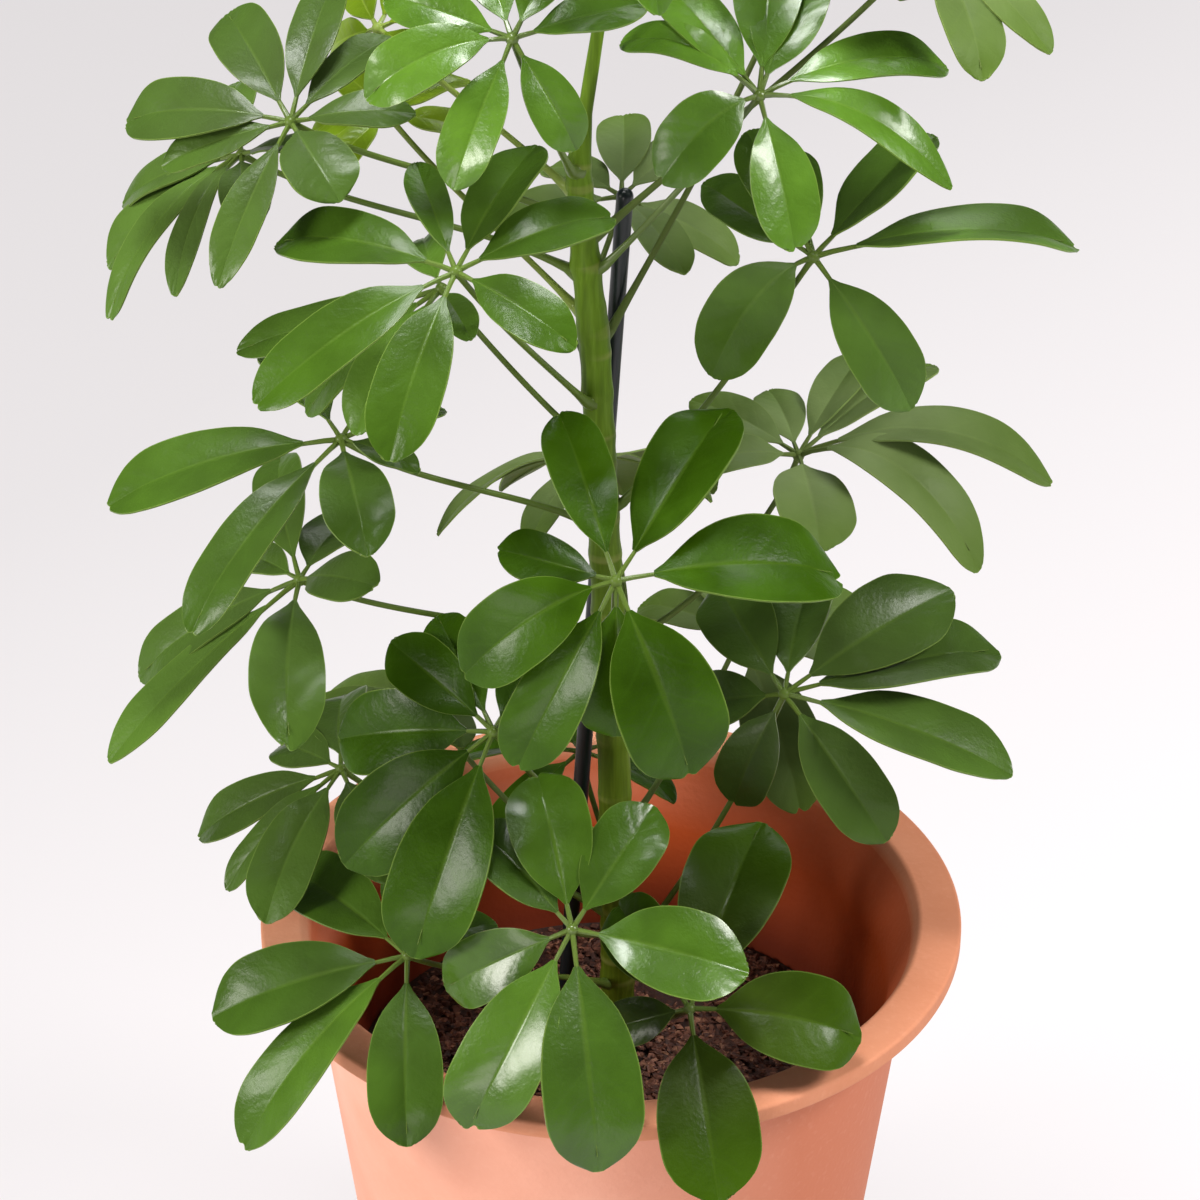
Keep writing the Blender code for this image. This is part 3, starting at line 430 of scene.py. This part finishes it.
# Upper faces: deep green when old, fresh green when new, with a faint paler rib and margin
cuticle = dict(
    old=("#213801", "#2c4803", "#395a06"), fresh=("#3f640c", "#4f7a14", "#659522"), dustAndSheenColor="#526238",
    rib=0.12, ribColor="#7d9c3c", vein=0.03, veinColor="#5f8a30", edge=0.3, edgeColor="#8fa850",
    tip=0.25, tipColor="#3f6404", gloss=(0.30, 0.42), relief=0.42, coat=0.12, shine=0.12)
youngGreen = ("#4d650e", "#617c13", "#758f1e")
paleGreen = ("#6e8430", "#80963c", "#93a84c")
leafFaces = {
    # the wax coat of leaves in full light shines most
    "waxy": leafFinish("waxyLeafTop", dict(
        cuticle, rib=0.13, tipColor="#476f04", gloss=(0.28, 0.40), relief=0.50, coat=0.50, shine=0.22)),
    # shaded leaves are satin
    "satin": leafFinish("satinLeafTop", cuticle),
    # painted shade: a darker copy of the satin look for a leaf that others shade, nearly black-green at the
    # base, with a green tip
    "shaded": leafFinish("shadedLeafTop", dict(
        cuticle, old=("#1c2806", "#263507", "#32450a"), rib=0.10, ribColor="#6f8a38", vein=0.02,
        edge=0.25, edgeColor="#7f9a48", tip=0.75, tipColor="#385604")),
    # leaves at the back are paler, greyer and dull with dust
    "dusty": leafFinish("dustyLeafTop", dict(
        old=("#36461c", "#405221", "#4c5f29"), fresh=("#5a6e3a", "#697d47", "#778b54"),
        dustAndSheenColor="#697d47", rib=0.1, ribColor="#8ea35c", vein=0.04, veinColor="#7c9450", edge=0.2,
        edgeColor="#9fb560", tip=0.75, tipColor="#486410", gloss=(0.46, 0.58), relief=0.25, coat=0.0,
        shine=0.15)),
    # undersides are paler and dull, with no wax shine
    "under": leafFinish("mattLeafUnderside", dict(
        old=("#465f26", "#556f30", "#647f3c"), fresh=("#546f2c", "#648038", "#749046"),
        dustAndSheenColor="#6b7f48", rib=0.5, ribColor="#97a566", vein=0.2, veinColor="#7f965a", edge=0.3,
        edgeColor="#9fb560", tip=0.15, tipColor="#6d8a30", gloss=(0.5, 0.62), relief=0.4, coat=0.0,
        shine=0.12)),
    # young leaves are thin, yellow-green and glossy, and pale underneath
    "young": leafFinish("waxyYoungLeafTop", dict(
        old=youngGreen, fresh=youngGreen, dustAndSheenColor="#758350", rib=0.2, ribColor="#aabc58", vein=0.06,
        veinColor="#93a83c", edge=0.3, edgeColor="#b6c670", tip=0.2, tipColor="#7a940e",
        gloss=(0.30, 0.40), relief=0.25, coat=0.15, shine=0.15)),
    "youngUnder": leafFinish("mattYoungLeafUnderside", dict(
        old=paleGreen, fresh=paleGreen, dustAndSheenColor="#93a070", rib=0.4, ribColor="#b4c070", vein=0.2,
        veinColor="#a0ae5c", edge=0.3, edgeColor="#b6c670", tip=0.15, tipColor="#93a84c",
        gloss=(0.45, 0.55), relief=0.3, coat=0.0, shine=0.12)),
}

# Leaf stalks: smooth young bark, dark olive above and yellow-green below, paler at hub and foot
greenStalk, add, shader, place = newFinish("smoothLeafStalk")
patches = add("noise", Vector=place, Scale=38.0, Detail=2.0)
grain = add("noise", Vector=place, Scale=1400.0, Detail=1.0)
below = add("ramp", patches, stops=((0.30, "#3f4f12"), (0.50, "#50661a"), (0.70, "#668026")))
above = add("ramp", patches, stops=((0.30, "#34310c"), (0.50, "#464213"), (0.70, "#5b561d")))
rise = add("range", add("split", place).outputs[2], 0.25, 0.34)
pale = add("mix RGBA", rise, "#6f8428", "#50601c")
joint = add("math MULTIPLY", add("attribute knuckle").outputs["Fac"], 0.6)
tone = add("mix RGBA", joint, add("mix RGBA", rise, below, above), pale)
# the sheath at a stalk's foot, where it stands on the stem, is yellow-green
fromAxis = add("vector LENGTH", add("vector MULTIPLY", place, (1.0, 1.0, 0.0)))
tone = add("mix RGBA", add("range", fromAxis, 0.018, 0.008, 0.0, 0.75), tone, "#82942c")
feed(shader, Base_Color=tone, Roughness=add("range", patches, 0.3, 0.7, 0.36, 0.46),
     Normal=add("bump", Height=grain, Strength=0.15, Distance=0.0002), Specular_IOR_Level=0.12)


def bladeTree():
    # Geometry Nodes: one curved blade for each point, bent along the leaflet's own rib
    tree, add, given = newTree("leafletBlades", leafForm["blade"])
    sheet = add("GeometryNodeMeshGrid", Size_X=2.0, Size_Y=1.0, Vertices_X=given["Across"],
                Vertices_Y=given["Along"])
    x, y, _ = add("split", add("GeometryNodeInputPosition")).outputs
    # columns crowd towards the rib, where the fold is, and rows towards the round tip
    crowded = add("math MULTIPLY", add("math SIGN", x), add("math POWER", add("math ABSOLUTE", x), 1.2))
    toTip = add("math POWER", add("math SUBTRACT", 0.5, y), given["Tip Crowd"])
    kept = add("store FLOAT", Geometry=sheet, Name="u", Value=crowded)
    kept = add("store FLOAT", Geometry=kept, Name="v", Value=add("math SUBTRACT", 1.0, toTip))
    real = add("GeometryNodeRealizeInstances", add("scatter", Points=given["Geometry"], Instance=kept))

    u, v, half, roll, twist, phase, notch, notchAt, bendOut, pointed, curl = (
        add("read FLOAT", name) for name in ("u", "v") + leafletNumbers)
    hub, knee, tip, side = (add("read FLOAT_VECTOR", name) for name in leafletVectors)
    absU = add("math ABSOLUTE", u)
    a = add("math MULTIPLY_ADD", v, add("math SUBTRACT", 1.0, given["Stalk Share"]), given["Stalk Share"])
    centre = add("vector ADD", hub,
                 add("vector SCALE", knee, add("math MULTIPLY", a, add("math SUBTRACT", 1.0, a), 2.0)),
                 add("vector SCALE", tip, add("math MULTIPLY", a, a)))
    ahead = add("vector NORMALIZE", add(
        "vector ADD", add("vector SCALE", knee, add("math MULTIPLY_ADD", a, -4.0, 2.0)),
        add("vector SCALE", tip, add("math MULTIPLY", a, 2.0))))
    # the blade leans by its roll at the hub and twists a little more towards its tip
    lean = add("math MULTIPLY_ADD", add("math MULTIPLY", v, v), twist, roll)
    across = add("vector NORMALIZE", add(
        "vector SUBTRACT", add("vector SCALE", side, add("math COSINE", lean)),
        add("vector SCALE", add("vector CROSS_PRODUCT", ahead, side), add("math SINE", lean))))
    up = add("vector NORMALIZE", add("vector CROSS_PRODUCT", ahead, across))
    outline = add("ShaderNodeFloatCurve", Value=v)
    line = outline.mapping.curves[0]
    for spot in bladeOutline[1:-1]:
        line.points.new(*spot)
    for point, spot in zip(line.points, bladeOutline):
        point.location = spot
        point.handle_type = "AUTO_CLAMPED"
    outline.mapping.update()
    # lengthwise: round corners, the small nick in the tip, and some tips drawn out to a point
    full, nearTip, atTip = (add("range SMOOTHSTEP", v, *ends)
                            for ends in ((0.0, 0.25), (0.66, 1.0), (0.93, 1.0)))
    slim = add("math SUBTRACT", 1.0, add("math MULTIPLY", pointed, nearTip, 0.38))
    wide = add("math MULTIPLY", outline, half, slim)
    reach = add("math MULTIPLY", u, wide, -1.0)
    corner = add("math MULTIPLY", absU, absU, nearTip, add("math MULTIPLY", half, 0.10))
    off = add("math DIVIDE", add("math SUBTRACT", u, notchAt), 0.42)
    nick = add("math MULTIPLY", add("math EXPONENT", add("math MULTIPLY", off, off, -1.0)), notch, atTip)
    back = add("math MULTIPLY", add("math ADD", corner, nick), -1.0)
    # upwards: a gutter along the rib, falling edges, ripples, and a quilt between the veins
    gutter = add("math SUBTRACT", add("math MULTIPLY", absU, given["Trough"]),
                 add("math MULTIPLY", absU, absU, given["Edge Fall"]))
    gutter = add("math MULTIPLY", gutter, add("math MULTIPLY", wide, full))
    beat = add("math MULTIPLY_ADD", v, 8.2, add("math MULTIPLY_ADD", add("math SIGN", u), 0.9, phase))
    ripple = add("math MULTIPLY", add("math SINE", beat), add("math POWER", absU, 2.0),
                 add("math MULTIPLY", given["Ripple"], full))
    row = add("math MULTIPLY_ADD", v, given["Veins"], add("math MULTIPLY", absU, leafForm["veinSlant"]))
    quilt = add("math MULTIPLY", add("math SINE", add("math MULTIPLY", row, 6.2832)),
                add("math MULTIPLY", absU, add("math SUBTRACT", 1.0, absU)),
                add("math MULTIPLY", given["Quilt"], 4.0))
    # the last third curls down
    drop = add("math MULTIPLY", nearTip, nearTip, curl)
    rise = add("math SUBTRACT", add("math ADD", gutter, ripple, quilt), drop)
    bow = add("math MULTIPLY", v, add("math SUBTRACT", 1.0, v), bendOut)
    place = add("vector ADD", centre, add("vector SCALE", across, add("math ADD", reach, bow)),
                add("vector ADD", add("vector SCALE", ahead, back), add("vector SCALE", up, rise)))
    bent = add("GeometryNodeSetPosition", Geometry=real, Position=place)
    pair = add("ShaderNodeCombineXYZ", add("math MULTIPLY_ADD", u, 0.5, 0.5), v)
    mapped = add("store FLOAT2", Geometry=bent, Name="bladeMap", Value=pair, domain="CORNER")
    add("NodeGroupOutput", add("GeometryNodeSetMaterial", Geometry=mapped, Material=given["Finish"]))
    return tree


def bezier(a, b, c, d, t):
    s = 1 - t
    return a * s**3 + b * 3 * s * s * t + c * 3 * s * t * t + d * t**3


def stemAt(height):
    for low, high in zip(stemLine, stemLine[1:]):
        if height <= high[2] or high is stemLine[-1]:
            share = (height - low[2]) / (high[2] - low[2])
            x, y, z, radius = (p + (q - p) * share for p, q in zip(low, high))
            return Vector((x, y, z)) * mm, radius * mm


def petioleRoute(name, plan, hub, axis):
    # from just inside the stem's side up to the hub
    steps = leafForm["petioleSteps"]
    centre, radius = stemAt(plan["growsAt"])
    towards = math.degrees(math.atan2(hub.y - centre.y, hub.x - centre.x))
    side = math.radians(stalkSides.get(name, towards))
    out = Vector((math.cos(side), math.sin(side), 0))
    start = centre + out * (radius + 1.8 * mm)
    straight = (hub - start).normalized()
    reach = (hub - start).length * leafForm["petioleReach"]
    riseDeg, curve = stalkBends.get(name, leafForm["petioleBend"])
    slope = math.radians(riseDeg)
    upward = out * math.cos(slope) + upright * math.sin(slope)
    first = start + straight.lerp(upward, curve).normalized() * reach
    last = hub - straight.lerp(axis, curve).normalized() * reach
    foot = centre + out * (radius - 1.5 * mm) - upright * 1.2 * mm
    route = [bezier(start, first, last, hub, i / steps) for i in range(steps + 1)]
    return [foot, (foot + start) / 2 - upright * 0.3 * mm] + route, out


def addRib(stalks, knuckles, hub, knee, tip, side):
    # stalklet and the rib that stands out under the blade
    steps, end, sink = leafForm["rib"]
    bare = leafForm["blade"]["Stalk Share"]
    line, radii = [], []
    for i in range(steps + 1):
        share = end * i / steps
        spot = hub + knee * 2 * share * (1 - share) + tip * share * share
        ahead = (knee * 2 * (1 - 2 * share) + tip * 2 * share).normalized()
        under = ahead.cross(side).normalized()
        line.append(spot - under * sink * min(1.0, max(0.0, (share - 0.08) / 0.1)))
        radii.append((0.92 - 0.22 * share / bare if share < bare else 0.72 - 0.62 * share) * mm)
    for i, ring in enumerate(sweep(stalks, line, radii, 6, finish=2, start=side)):
        for vert in ring:
            vert[knuckles] = 0.8 if i < 2 else 0.0


def addPetiole(stalks, knuckles, name, plan, hub, axis):
    # the leaf's stalk, swollen at its foot and a little at its head, and the hub
    route, out = petioleRoute(name, plan, hub, axis)
    thin, radii = leafForm["stalkRadius"], []
    for i in range(len(route)):
        share = i / (len(route) - 1)
        flare = math.exp(-share / leafForm["footFlare"])
        radii.append(thin * (1 - 0.10 * share) + (leafForm["footRadius"] - thin) * flare
                     + leafForm["headSwelling"] * math.exp(-(1 - share) / 0.02))
    rings = sweep(stalks, route, radii, 10, finish=2, start=out.cross(upright))
    for i, ring in enumerate(rings):
        for vert in ring:
            vert[knuckles] = math.exp(-i / 2.5) + math.exp((i + 1 - len(rings)) / 1.2)
    ball = bmesh.ops.create_icosphere(stalks, subdivisions=2, radius=leafForm["hubRadius"],
                                      matrix=Matrix.Translation(hub))
    for vert in ball["verts"]:
        vert[knuckles] = 1.0
    for face in {f for vert in ball["verts"] for f in vert.link_faces}:
        face.material_index = 2
        face.smooth = True


def makeLeaf(name, plan, blades, finishes, draw, extra):
    hub = Vector(plan["hub"]) * mm
    turn = (Matrix.Rotation(math.radians(plan["faces"]), 3, "Z")
            @ Matrix.Rotation(math.radians(plan["tilt"]), 3, "Y"))
    axis = turn @ upright
    points = bmesh.new()
    layers = {n: points.verts.layers.float_vector.new(n) for n in leafletVectors}
    layers.update({n: points.verts.layers.float.new(n) for n in leafletNumbers + leafletTones})
    stalks = bmesh.new()
    knuckles = stalks.verts.layers.float.new("knuckle")
    arch = math.radians(leafForm["arch"])
    for leaflet in plan["leaflets"]:
        bearingDeg, lengthMm, widthMm, droopDeg, level, lift = (*leaflet, 0, 0)[:6]
        bearing, droop, length = math.radians(bearingDeg), math.radians(droopDeg), lengthMm * mm
        way = turn @ Vector((math.cos(bearing), math.sin(bearing), 0))
        side = axis.lerp(upright, level).cross(way).normalized()
        tip = length * (way * math.cos(droop) - axis * math.sin(droop))
        rise = arch - droop
        knee = 0.5 * length / math.cos(arch) * (way * math.cos(rise) + axis * math.sin(rise))
        knee += upright * lift * length
        roll = math.radians(draw.uniform(*leafForm["roll"]))
        half = 0.5 * widthMm * mm * draw.uniform(*leafForm["widths"])
        draw.random()  # a spare draw, which keeps the leaflets after it as they are
        values = {n: extra.uniform(*span) for n, span in leafForm["chances"].items()}
        # the fresh share holds painted light and shade as well as age, and the dust share painted sheen as
        # well as dust
        values.update(
            hub=hub, knee=knee, tip=tip, side=side, halfWidth=half, roll=roll,
            twist=math.radians(values["twist"]), notch=max(0.0, values["notch"]) * half,
            bendOut=values["bendOut"] * half, pointed=max(0.0, values["pointed"]),
            curl=values["curl"] * half, leafletTint=extra.random(), fresh=plan.get("fresh", 0),
            dust=plan.get("dust", 0))
        point = points.verts.new(hub)
        for key, value in values.items():
            point[layers[key]] = value
        addRib(stalks, knuckles, hub, knee, tip, side)
    addPetiole(stalks, knuckles, name, plan, hub, axis)

    sheet = linkMesh(name + "_points", points, finishes)
    growOn(sheet, blades, finishes[0])
    thick = sheet.modifiers.new("thickness", "SOLIDIFY")
    thick.thickness = leafForm["thickness"]
    thick.offset = 0
    thick.material_offset = 1
    thick.material_offset_rim = 0
    leaf = settled(sheet, name + "_foliage")
    whole = bmesh.new()
    whole.from_mesh(leaf.data)
    loose = bpy.data.meshes.new("stalks")
    stalks.to_mesh(loose)
    stalks.free()
    whole.from_mesh(loose)
    whole.to_mesh(leaf.data)
    whole.free()
    bpy.data.meshes.remove(loose)
    leaf.data.materials.clear()
    for finish in finishes:
        leaf.data.materials.append(finish)
    leaf.data.shade_smooth()
    leaf.data.set_sharp_from_angle(angle=math.radians(leafForm["sharpEdge"]))
    return leaf


blades = bladeTree()
sameDraw = random.Random(leafForm["seed"])
extraDraw = random.Random(leafForm["seed"] + 1)
for name, plan in leafPlan.items():
    young = name.startswith("leaf_young")
    finishes = (leafFaces[plan["finish"]], leafFaces["youngUnder" if young else "under"], greenStalk)
    leaf = makeLeaf(name, plan, blades, finishes, sameDraw, extraDraw)
    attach(leaf, "root")
    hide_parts(name)
print("leaves ready:", len(leafPlan))

# Stem: green young bark, ringed where leaves have dropped or still stand, with a sheathed growing tip
stem = {
    "step": 1.6 * mm, "sides": 28, "swelling": 0.3825 * mm, "scarWidth": 1.5 * mm, "seed": 11,
    "bareScars": (141, 158, 176, 212, 240, 262, 274, 309, 330, 362, 409),
    # folded young leaves at the growing tip: way round, length in mm, and how far each leans out
    "tipLeaves": ((0.4, 19, 0.28), (2.3, 15, 0.42), (4.4, 12, 0.55)),
    "tipLeafRadii": (1.2, 1.5, 1.35, 1.0, 0.6, 0.15),
}


def makeStem():
    shape = bmesh.new()
    scars = shape.verts.layers.float.new("scar")
    rings = [plan["growsAt"] for plan in leafPlan.values()] + list(stem["bareScars"])
    low, high = stemLine[0][2] * mm, stemLine[-1][2] * mm
    count = int((high - low) / stem["step"])
    draw = random.Random(stem["seed"])
    lean = [draw.uniform(0, 6.28) for _ in rings]
    centres, radii, marks = [], [], []
    for i in range(count + 1):
        height = low + (high - low) * i / count
        centre, radius = stemAt(height / mm)
        ringMark = 0.0
        for ring in rings:
            away = (height - ring * mm) / stem["scarWidth"]
            ringMark = max(ringMark, math.exp(-away * away))
            radius += stem["swelling"] * math.exp(-(away / 1.8) ** 2) * min(1.0, radius / (4 * mm))
        centres.append(centre)
        radii.append(radius * (1 + 0.012 * math.sin(height * 310)))
        marks.append(ringMark)
    for i, ring in enumerate(sweep(shape, centres, radii, stem["sides"])):
        for k, vert in enumerate(ring):
            turn = 2 * math.pi * k / stem["sides"]
            vert[scars] = marks[i] * (0.65 + 0.35 * math.sin(turn + lean[i % len(lean)]))
    top = Vector(stemLine[-1][:3]) * mm
    for turn, length, away in stem["tipLeaves"]:
        out = Vector((math.cos(turn), math.sin(turn), 0))
        line = [top - upright * 3 * mm + (upright * (1 - away * t) + out * away * t) * length * mm * t
                for t in (0, 0.2, 0.4, 0.6, 0.8, 1.0)]
        sweep(shape, line, [radius * mm for radius in stem["tipLeafRadii"]], 8)
    return shape


# Green bark: smooth and satin, lighter yellow-green higher up, darker and browner towards the bottom, with
# faint leaf scars
greenBark, add, shader, place = newFinish("youngGreenBark")
fibres = add("stretch", Vector=place, Scale=(1.0, 1.0, 0.06))
streak = add("noise", Vector=fibres, Scale=700.0, Detail=3.0)
patch = add("noise", Vector=place, Scale=60.0, Detail=3.0)
low = add("ramp", streak, stops=((0.30, "#44540e"), (0.55, "#506312"), (0.75, "#5d6f1c")))
high = add("ramp", streak, stops=((0.30, "#526e12"), (0.55, "#5f7e18"), (0.75, "#6d8e26")))
color = add("mix RGBA", add("range", add("split", place).outputs[2], 0.20, 0.40), low, high)
color = add("mix RGBA", add("range", patch, 0.62, 0.75, 0.0, 0.25), color, "#7a6a3c")
scarMix = add("range", add("attribute scar").outputs["Fac"], 0.35, 0.8, 0.0, 0.55)
color = add("mix RGBA", scarMix, color, "#848a48")
relief = add("math MULTIPLY_ADD", scarMix, 1.5, streak)
feed(shader, Base_Color=color, Roughness=add("range", patch, 0.3, 0.7, 0.40, 0.58),
     Normal=add("bump", Height=relief, Strength=0.30, Distance=0.0004), Specular_IOR_Level=0.15)
stemPiece = linkMesh("ringed_stem", makeStem(), [greenBark])
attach(stemPiece, "root")
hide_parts("stem")
print("stem ready")

# Stake: a thin moulded rod with a rounded top; places and radius in mm
stake = {"foot": (-21, 11, 62), "top": (4, 11, 449), "radius": 2.6, "sides": 24, "steps": 40}
foot, top = (Vector(stake[end]) * mm for end in ("foot", "top"))
along = (top - foot).normalized()
dome = [math.radians(a) for a in range(0, 90, 10)]
centres = [foot + (top - foot) * i / stake["steps"] for i in range(stake["steps"])]
radii = [stake["radius"] * mm] * stake["steps"]
centres += [top + along * stake["radius"] * mm * (math.sin(a) - 1) for a in dome]
radii += [stake["radius"] * mm * math.cos(a) for a in dome]
rod = bmesh.new()
sweep(rod, centres, radii, stake["sides"])
# Moulded polypropylene: near black, satin, with faint length-wise drawing lines
blackPlastic, add, shader, place = newFinish("mouldedBlackPlastic")
drawn = add("stretch", Vector=place, Scale=(1.0, 1.0, 0.04))
lines = add("noise", Vector=drawn, Scale=900.0, Detail=2.0)
feed(shader, Base_Color=add("ramp", lines, stops=((0.3, "#0c1417"), (0.7, "#182326"))),
     Roughness=add("range", lines, 0.3, 0.7, 0.28, 0.42),
     Normal=add("bump", Height=lines, Strength=0.2, Distance=0.0002))
stakePiece = linkMesh("round_stake", rod, [blackPlastic])
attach(stakePiece, "root")
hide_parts("stake")
print("stake ready")

# Pot: turned terracotta with a flat-topped rim; radius and height in mm
pot = {
    "sides": 180, "edgeRound": 1.2 * mm, "roundAbove": 14, "sharpEdge": 50, "taper": 0.12,
    "insideBelow": 0.0771,
    "profile": ((0, 0), (75, 0), (78, 2.5), (99, 181), (101.6, 184.6), (106.5, 189), (115, 189), (115, 195),
                (101.5, 195), (99.9, 192.5), (92.5, 173), (71, 11), (0, 11)),
}


def makePot():
    shape = bmesh.new()
    bridge(shape, [circle(shape, radius * mm, height * mm, pot["sides"] if radius else 1)
                   for radius, height in pot["profile"]])
    bmesh.ops.recalc_face_normals(shape, faces=shape.faces)
    return shape


# Terracotta: fired clay, matte and dusty, salmon with a paler bloom that is partly painted light, fine pores
# and faint turning lines
terracotta, add, shader, place = newFinish("firedTerracotta")
x, y, z = add("split", place).outputs
fromAxis = add("vector LENGTH", add("ShaderNodeCombineXYZ", x, y))
cloud = add("noise", Vector=place, Scale=16.0, Detail=5.0, Roughness=0.55)
speck = add("noise", Vector=place, Scale=420.0, Detail=3.0)
pore = add("ShaderNodeTexVoronoi", Vector=place, Scale=520.0)
turned = add("stretch", Vector=place, Scale=(0.10, 0.10, 1.0))
lines = add("noise", Vector=turned, Scale=260.0, Detail=2.0)
clay = add("ramp", cloud, stops=((0.30, "#c47d5a"), (0.50, "#ce8967"), (0.72, "#d99877")))
bloomAndLight = add("ramp", cloud, stops=((0.30, "#da9980"), (0.50, "#e2a48c"), (0.72, "#eab29d")))
# below the lip the outer wall is paler than the clay of the lip and rim, part lime bloom and part painted
# light, lightest at the left; towards the right and in the recess just under the lip it turns red with
# painted shade
wall = add("range", z, 0.1895, 0.1890, 0.0, 1.0)
litFromLeft = add("range", x, 0.06, -0.01, 0.1, 1.0)
below = add("range", z, 0.186, 0.178, 0.15, 1.0)
litAndShadedWall = add("mix RGBA", add("math MULTIPLY", below, litFromLeft), "#bd6d4d", bloomAndLight)
outer = add("mix RGBA", wall, clay, litAndShadedWall)
outer = add("mix RGBA", add("range", speck, 0.55, 0.75, 0.0, 0.06), outer, "#f6c6ae")
# the inside is redder, and darkens towards the bark, partly damp clay and partly painted shade deep in the
# pot; both walls taper by as much, so a radius less that taper tells them apart
untapered = add("math MULTIPLY_ADD", z, -pot["taper"], fromAxis)
dampAndShade = add("math MULTIPLY", add("math LESS_THAN", untapered, pot["insideBelow"]),
           add("range", z, 0.190, 0.165, 0.45, 1.0), add("range", z, 0.1925, 0.190, 0.0, 1.0),
           add("math GREATER_THAN", z, 0.009))
dampAndShadedClay = add("mix RGBA", add("range", z, 0.178, 0.132), "#c4521a", "#7c2e12")
relief = add("math MULTIPLY_ADD", pore, 0.3, add("math MULTIPLY_ADD", lines, 0.8, speck))
feed(shader, Base_Color=add("mix RGBA", dampAndShade, outer, dampAndShadedClay),
     Roughness=add("range", cloud, 0.3, 0.7, 0.68, 0.82),
     Normal=add("bump", Height=relief, Strength=0.35, Distance=0.0004), Specular_IOR_Level=0.25)
raw = linkMesh("pot_raw", makePot(), [terracotta])
soften = raw.modifiers.new("edges", "BEVEL")
soften.width = pot["edgeRound"]
soften.segments = 4
soften.limit_method = "ANGLE"
soften.angle_limit = math.radians(pot["roundAbove"])
potPiece = settled(raw, "turned_pot")
potPiece.data.shade_smooth()
potPiece.data.set_sharp_from_angle(angle=math.radians(pot["sharpEdge"]))
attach(potPiece, "root")
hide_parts("pot")
print("pot ready")

# Potting bark: an uneven bed with loose chips lying on it; heights and radii in mm
bark = {
    "level": 129, "radius": 86.2, "floor": 11.4, "floorRadius": 70.2, "rings": 64, "sides": 150,
    "mounds": 90, "seed": 5, "sharpEdge": 60, "strewn": (9.5, 82.5), "strewnSides": 48,
    "chips": {"Density": 330000.0, "Chip Size": 4.2 * mm, "Seed": 5},
}


def makeBed():
    shape = bmesh.new()
    draw = random.Random(bark["seed"])
    bumps = [(draw.uniform(-80, 80), draw.uniform(-80, 80), draw.uniform(0.5, 1.8), draw.uniform(5, 13))
             for _ in range(bark["mounds"])]
    walls = (bark["floorRadius"], bark["floor"]), (bark["radius"], bark["level"] - 2)
    rings = [circle(shape, radius * mm, height * mm, bark["sides"]) for radius, height in walls]
    for i in range(1, bark["rings"]):
        radius = bark["radius"] * (1 - i / bark["rings"])
        ring = []
        for k in range(bark["sides"]):
            turn = 2 * math.pi * k / bark["sides"]
            x, y = radius * math.cos(turn), radius * math.sin(turn)
            lift = sum(h * math.exp(-((x - a) ** 2 + (y - b) ** 2) / (w * w)) for a, b, h, w in bumps)
            lift += draw.uniform(-0.5, 0.5)
            ring.append(shape.verts.new((x * mm, y * mm, (bark["level"] - 2.5 + lift) * mm)))
        rings.append(ring)
    bridge(shape, rings + [[shape.verts.new((0, 0, (bark["level"] - 1) * mm))]])
    shape.faces.new(rings[0][::-1])
    return shape


# Composted bark: damp, dark red-brown with paler broken faces, dull
dampBark, add, shader, place = newFinish("dampPottingBark")
fibre = add("noise", Vector=place, Scale=480.0, Detail=4.0)
chipTint = add("attribute chipTint").outputs["Fac"]
blend = add("math MULTIPLY_ADD", chipTint, 0.4, add("math MULTIPLY", fibre, 0.6))
tone = add("ramp", blend,
           stops=((0.25, "#2a140c"), (0.45, "#492719"), (0.62, "#6e4331"), (0.80, "#a67a5d")))
feed(shader, Base_Color=tone, Roughness=add("range", fibre, 0.3, 0.7, 0.62, 0.9),
     Normal=add("bump", Height=fibre, Strength=0.7, Distance=0.0008))
bed = linkMesh("bark_bed", makeBed(), [dampBark])
bed.data.set_sharp_from_angle(angle=math.radians(bark["sharpEdge"]))


def chipTree():
    # Geometry Nodes: chips strewn over the bed, each turned and squashed its own way
    tree, add, given = newTree("barkChips", bark["chips"])
    seed = given["Seed"]
    strewn = add("GeometryNodeDistributePointsOnFaces", Mesh=given["Geometry"], Density=given["Density"],
                 Seed=seed)
    crooked = add("noise", Scale=1.7, Detail=1.0).outputs["Color"]
    shift = add("vector SCALE", add("vector SUBTRACT", crooked, (0.5, 0.5, 0.5)), 1.3)
    broken = add("GeometryNodeSetPosition", Offset=shift,
                 Geometry=add("GeometryNodeMeshIcoSphere", Radius=0.5, Subdivisions=1))
    sizes = add("random FLOAT_VECTOR", (0.35, 0.3, 0.18), (1.35, 0.95, 0.5), Seed=seed)
    turns = add("random FLOAT_VECTOR", (-0.5, -0.5, 0.0), (0.5, 0.5, 6.283), Seed=seed)
    laid = add("scatter", Points=strewn, Instance=broken, Rotation=turns,
               Scale=add("vector SCALE", sizes, given["Chip Size"]))
    tinted = add("store FLOAT", Geometry=laid, Name="chipTint", Value=add("random FLOAT", Seed=seed),
                 domain="INSTANCE")
    real = add("GeometryNodeRealizeInstances", tinted)
    add("NodeGroupOutput", add("GeometryNodeSetMaterial", Geometry=real, Material=given["Finish"]))
    return tree


# chips lie only where the bed is open: a flat ring between the stem and the wall
disc = bmesh.new()
inner, outer = (circle(disc, radius * mm, (bark["level"] - 0.4) * mm, bark["strewnSides"])
                for radius in bark["strewn"])
for k, near in enumerate(inner):
    m = (k + 1) % len(inner)
    disc.faces.new((near, outer[k], outer[m], inner[m]))
strewing = linkMesh("chip_ground", disc, [dampBark])
growOn(strewing, chipTree(), dampBark)
chips = settled(strewing, "bark_chips")
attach(bed, "root")
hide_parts("soil")
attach(chips, "root")
print("bark ready:", len(chips.data.polygons), "chip faces")
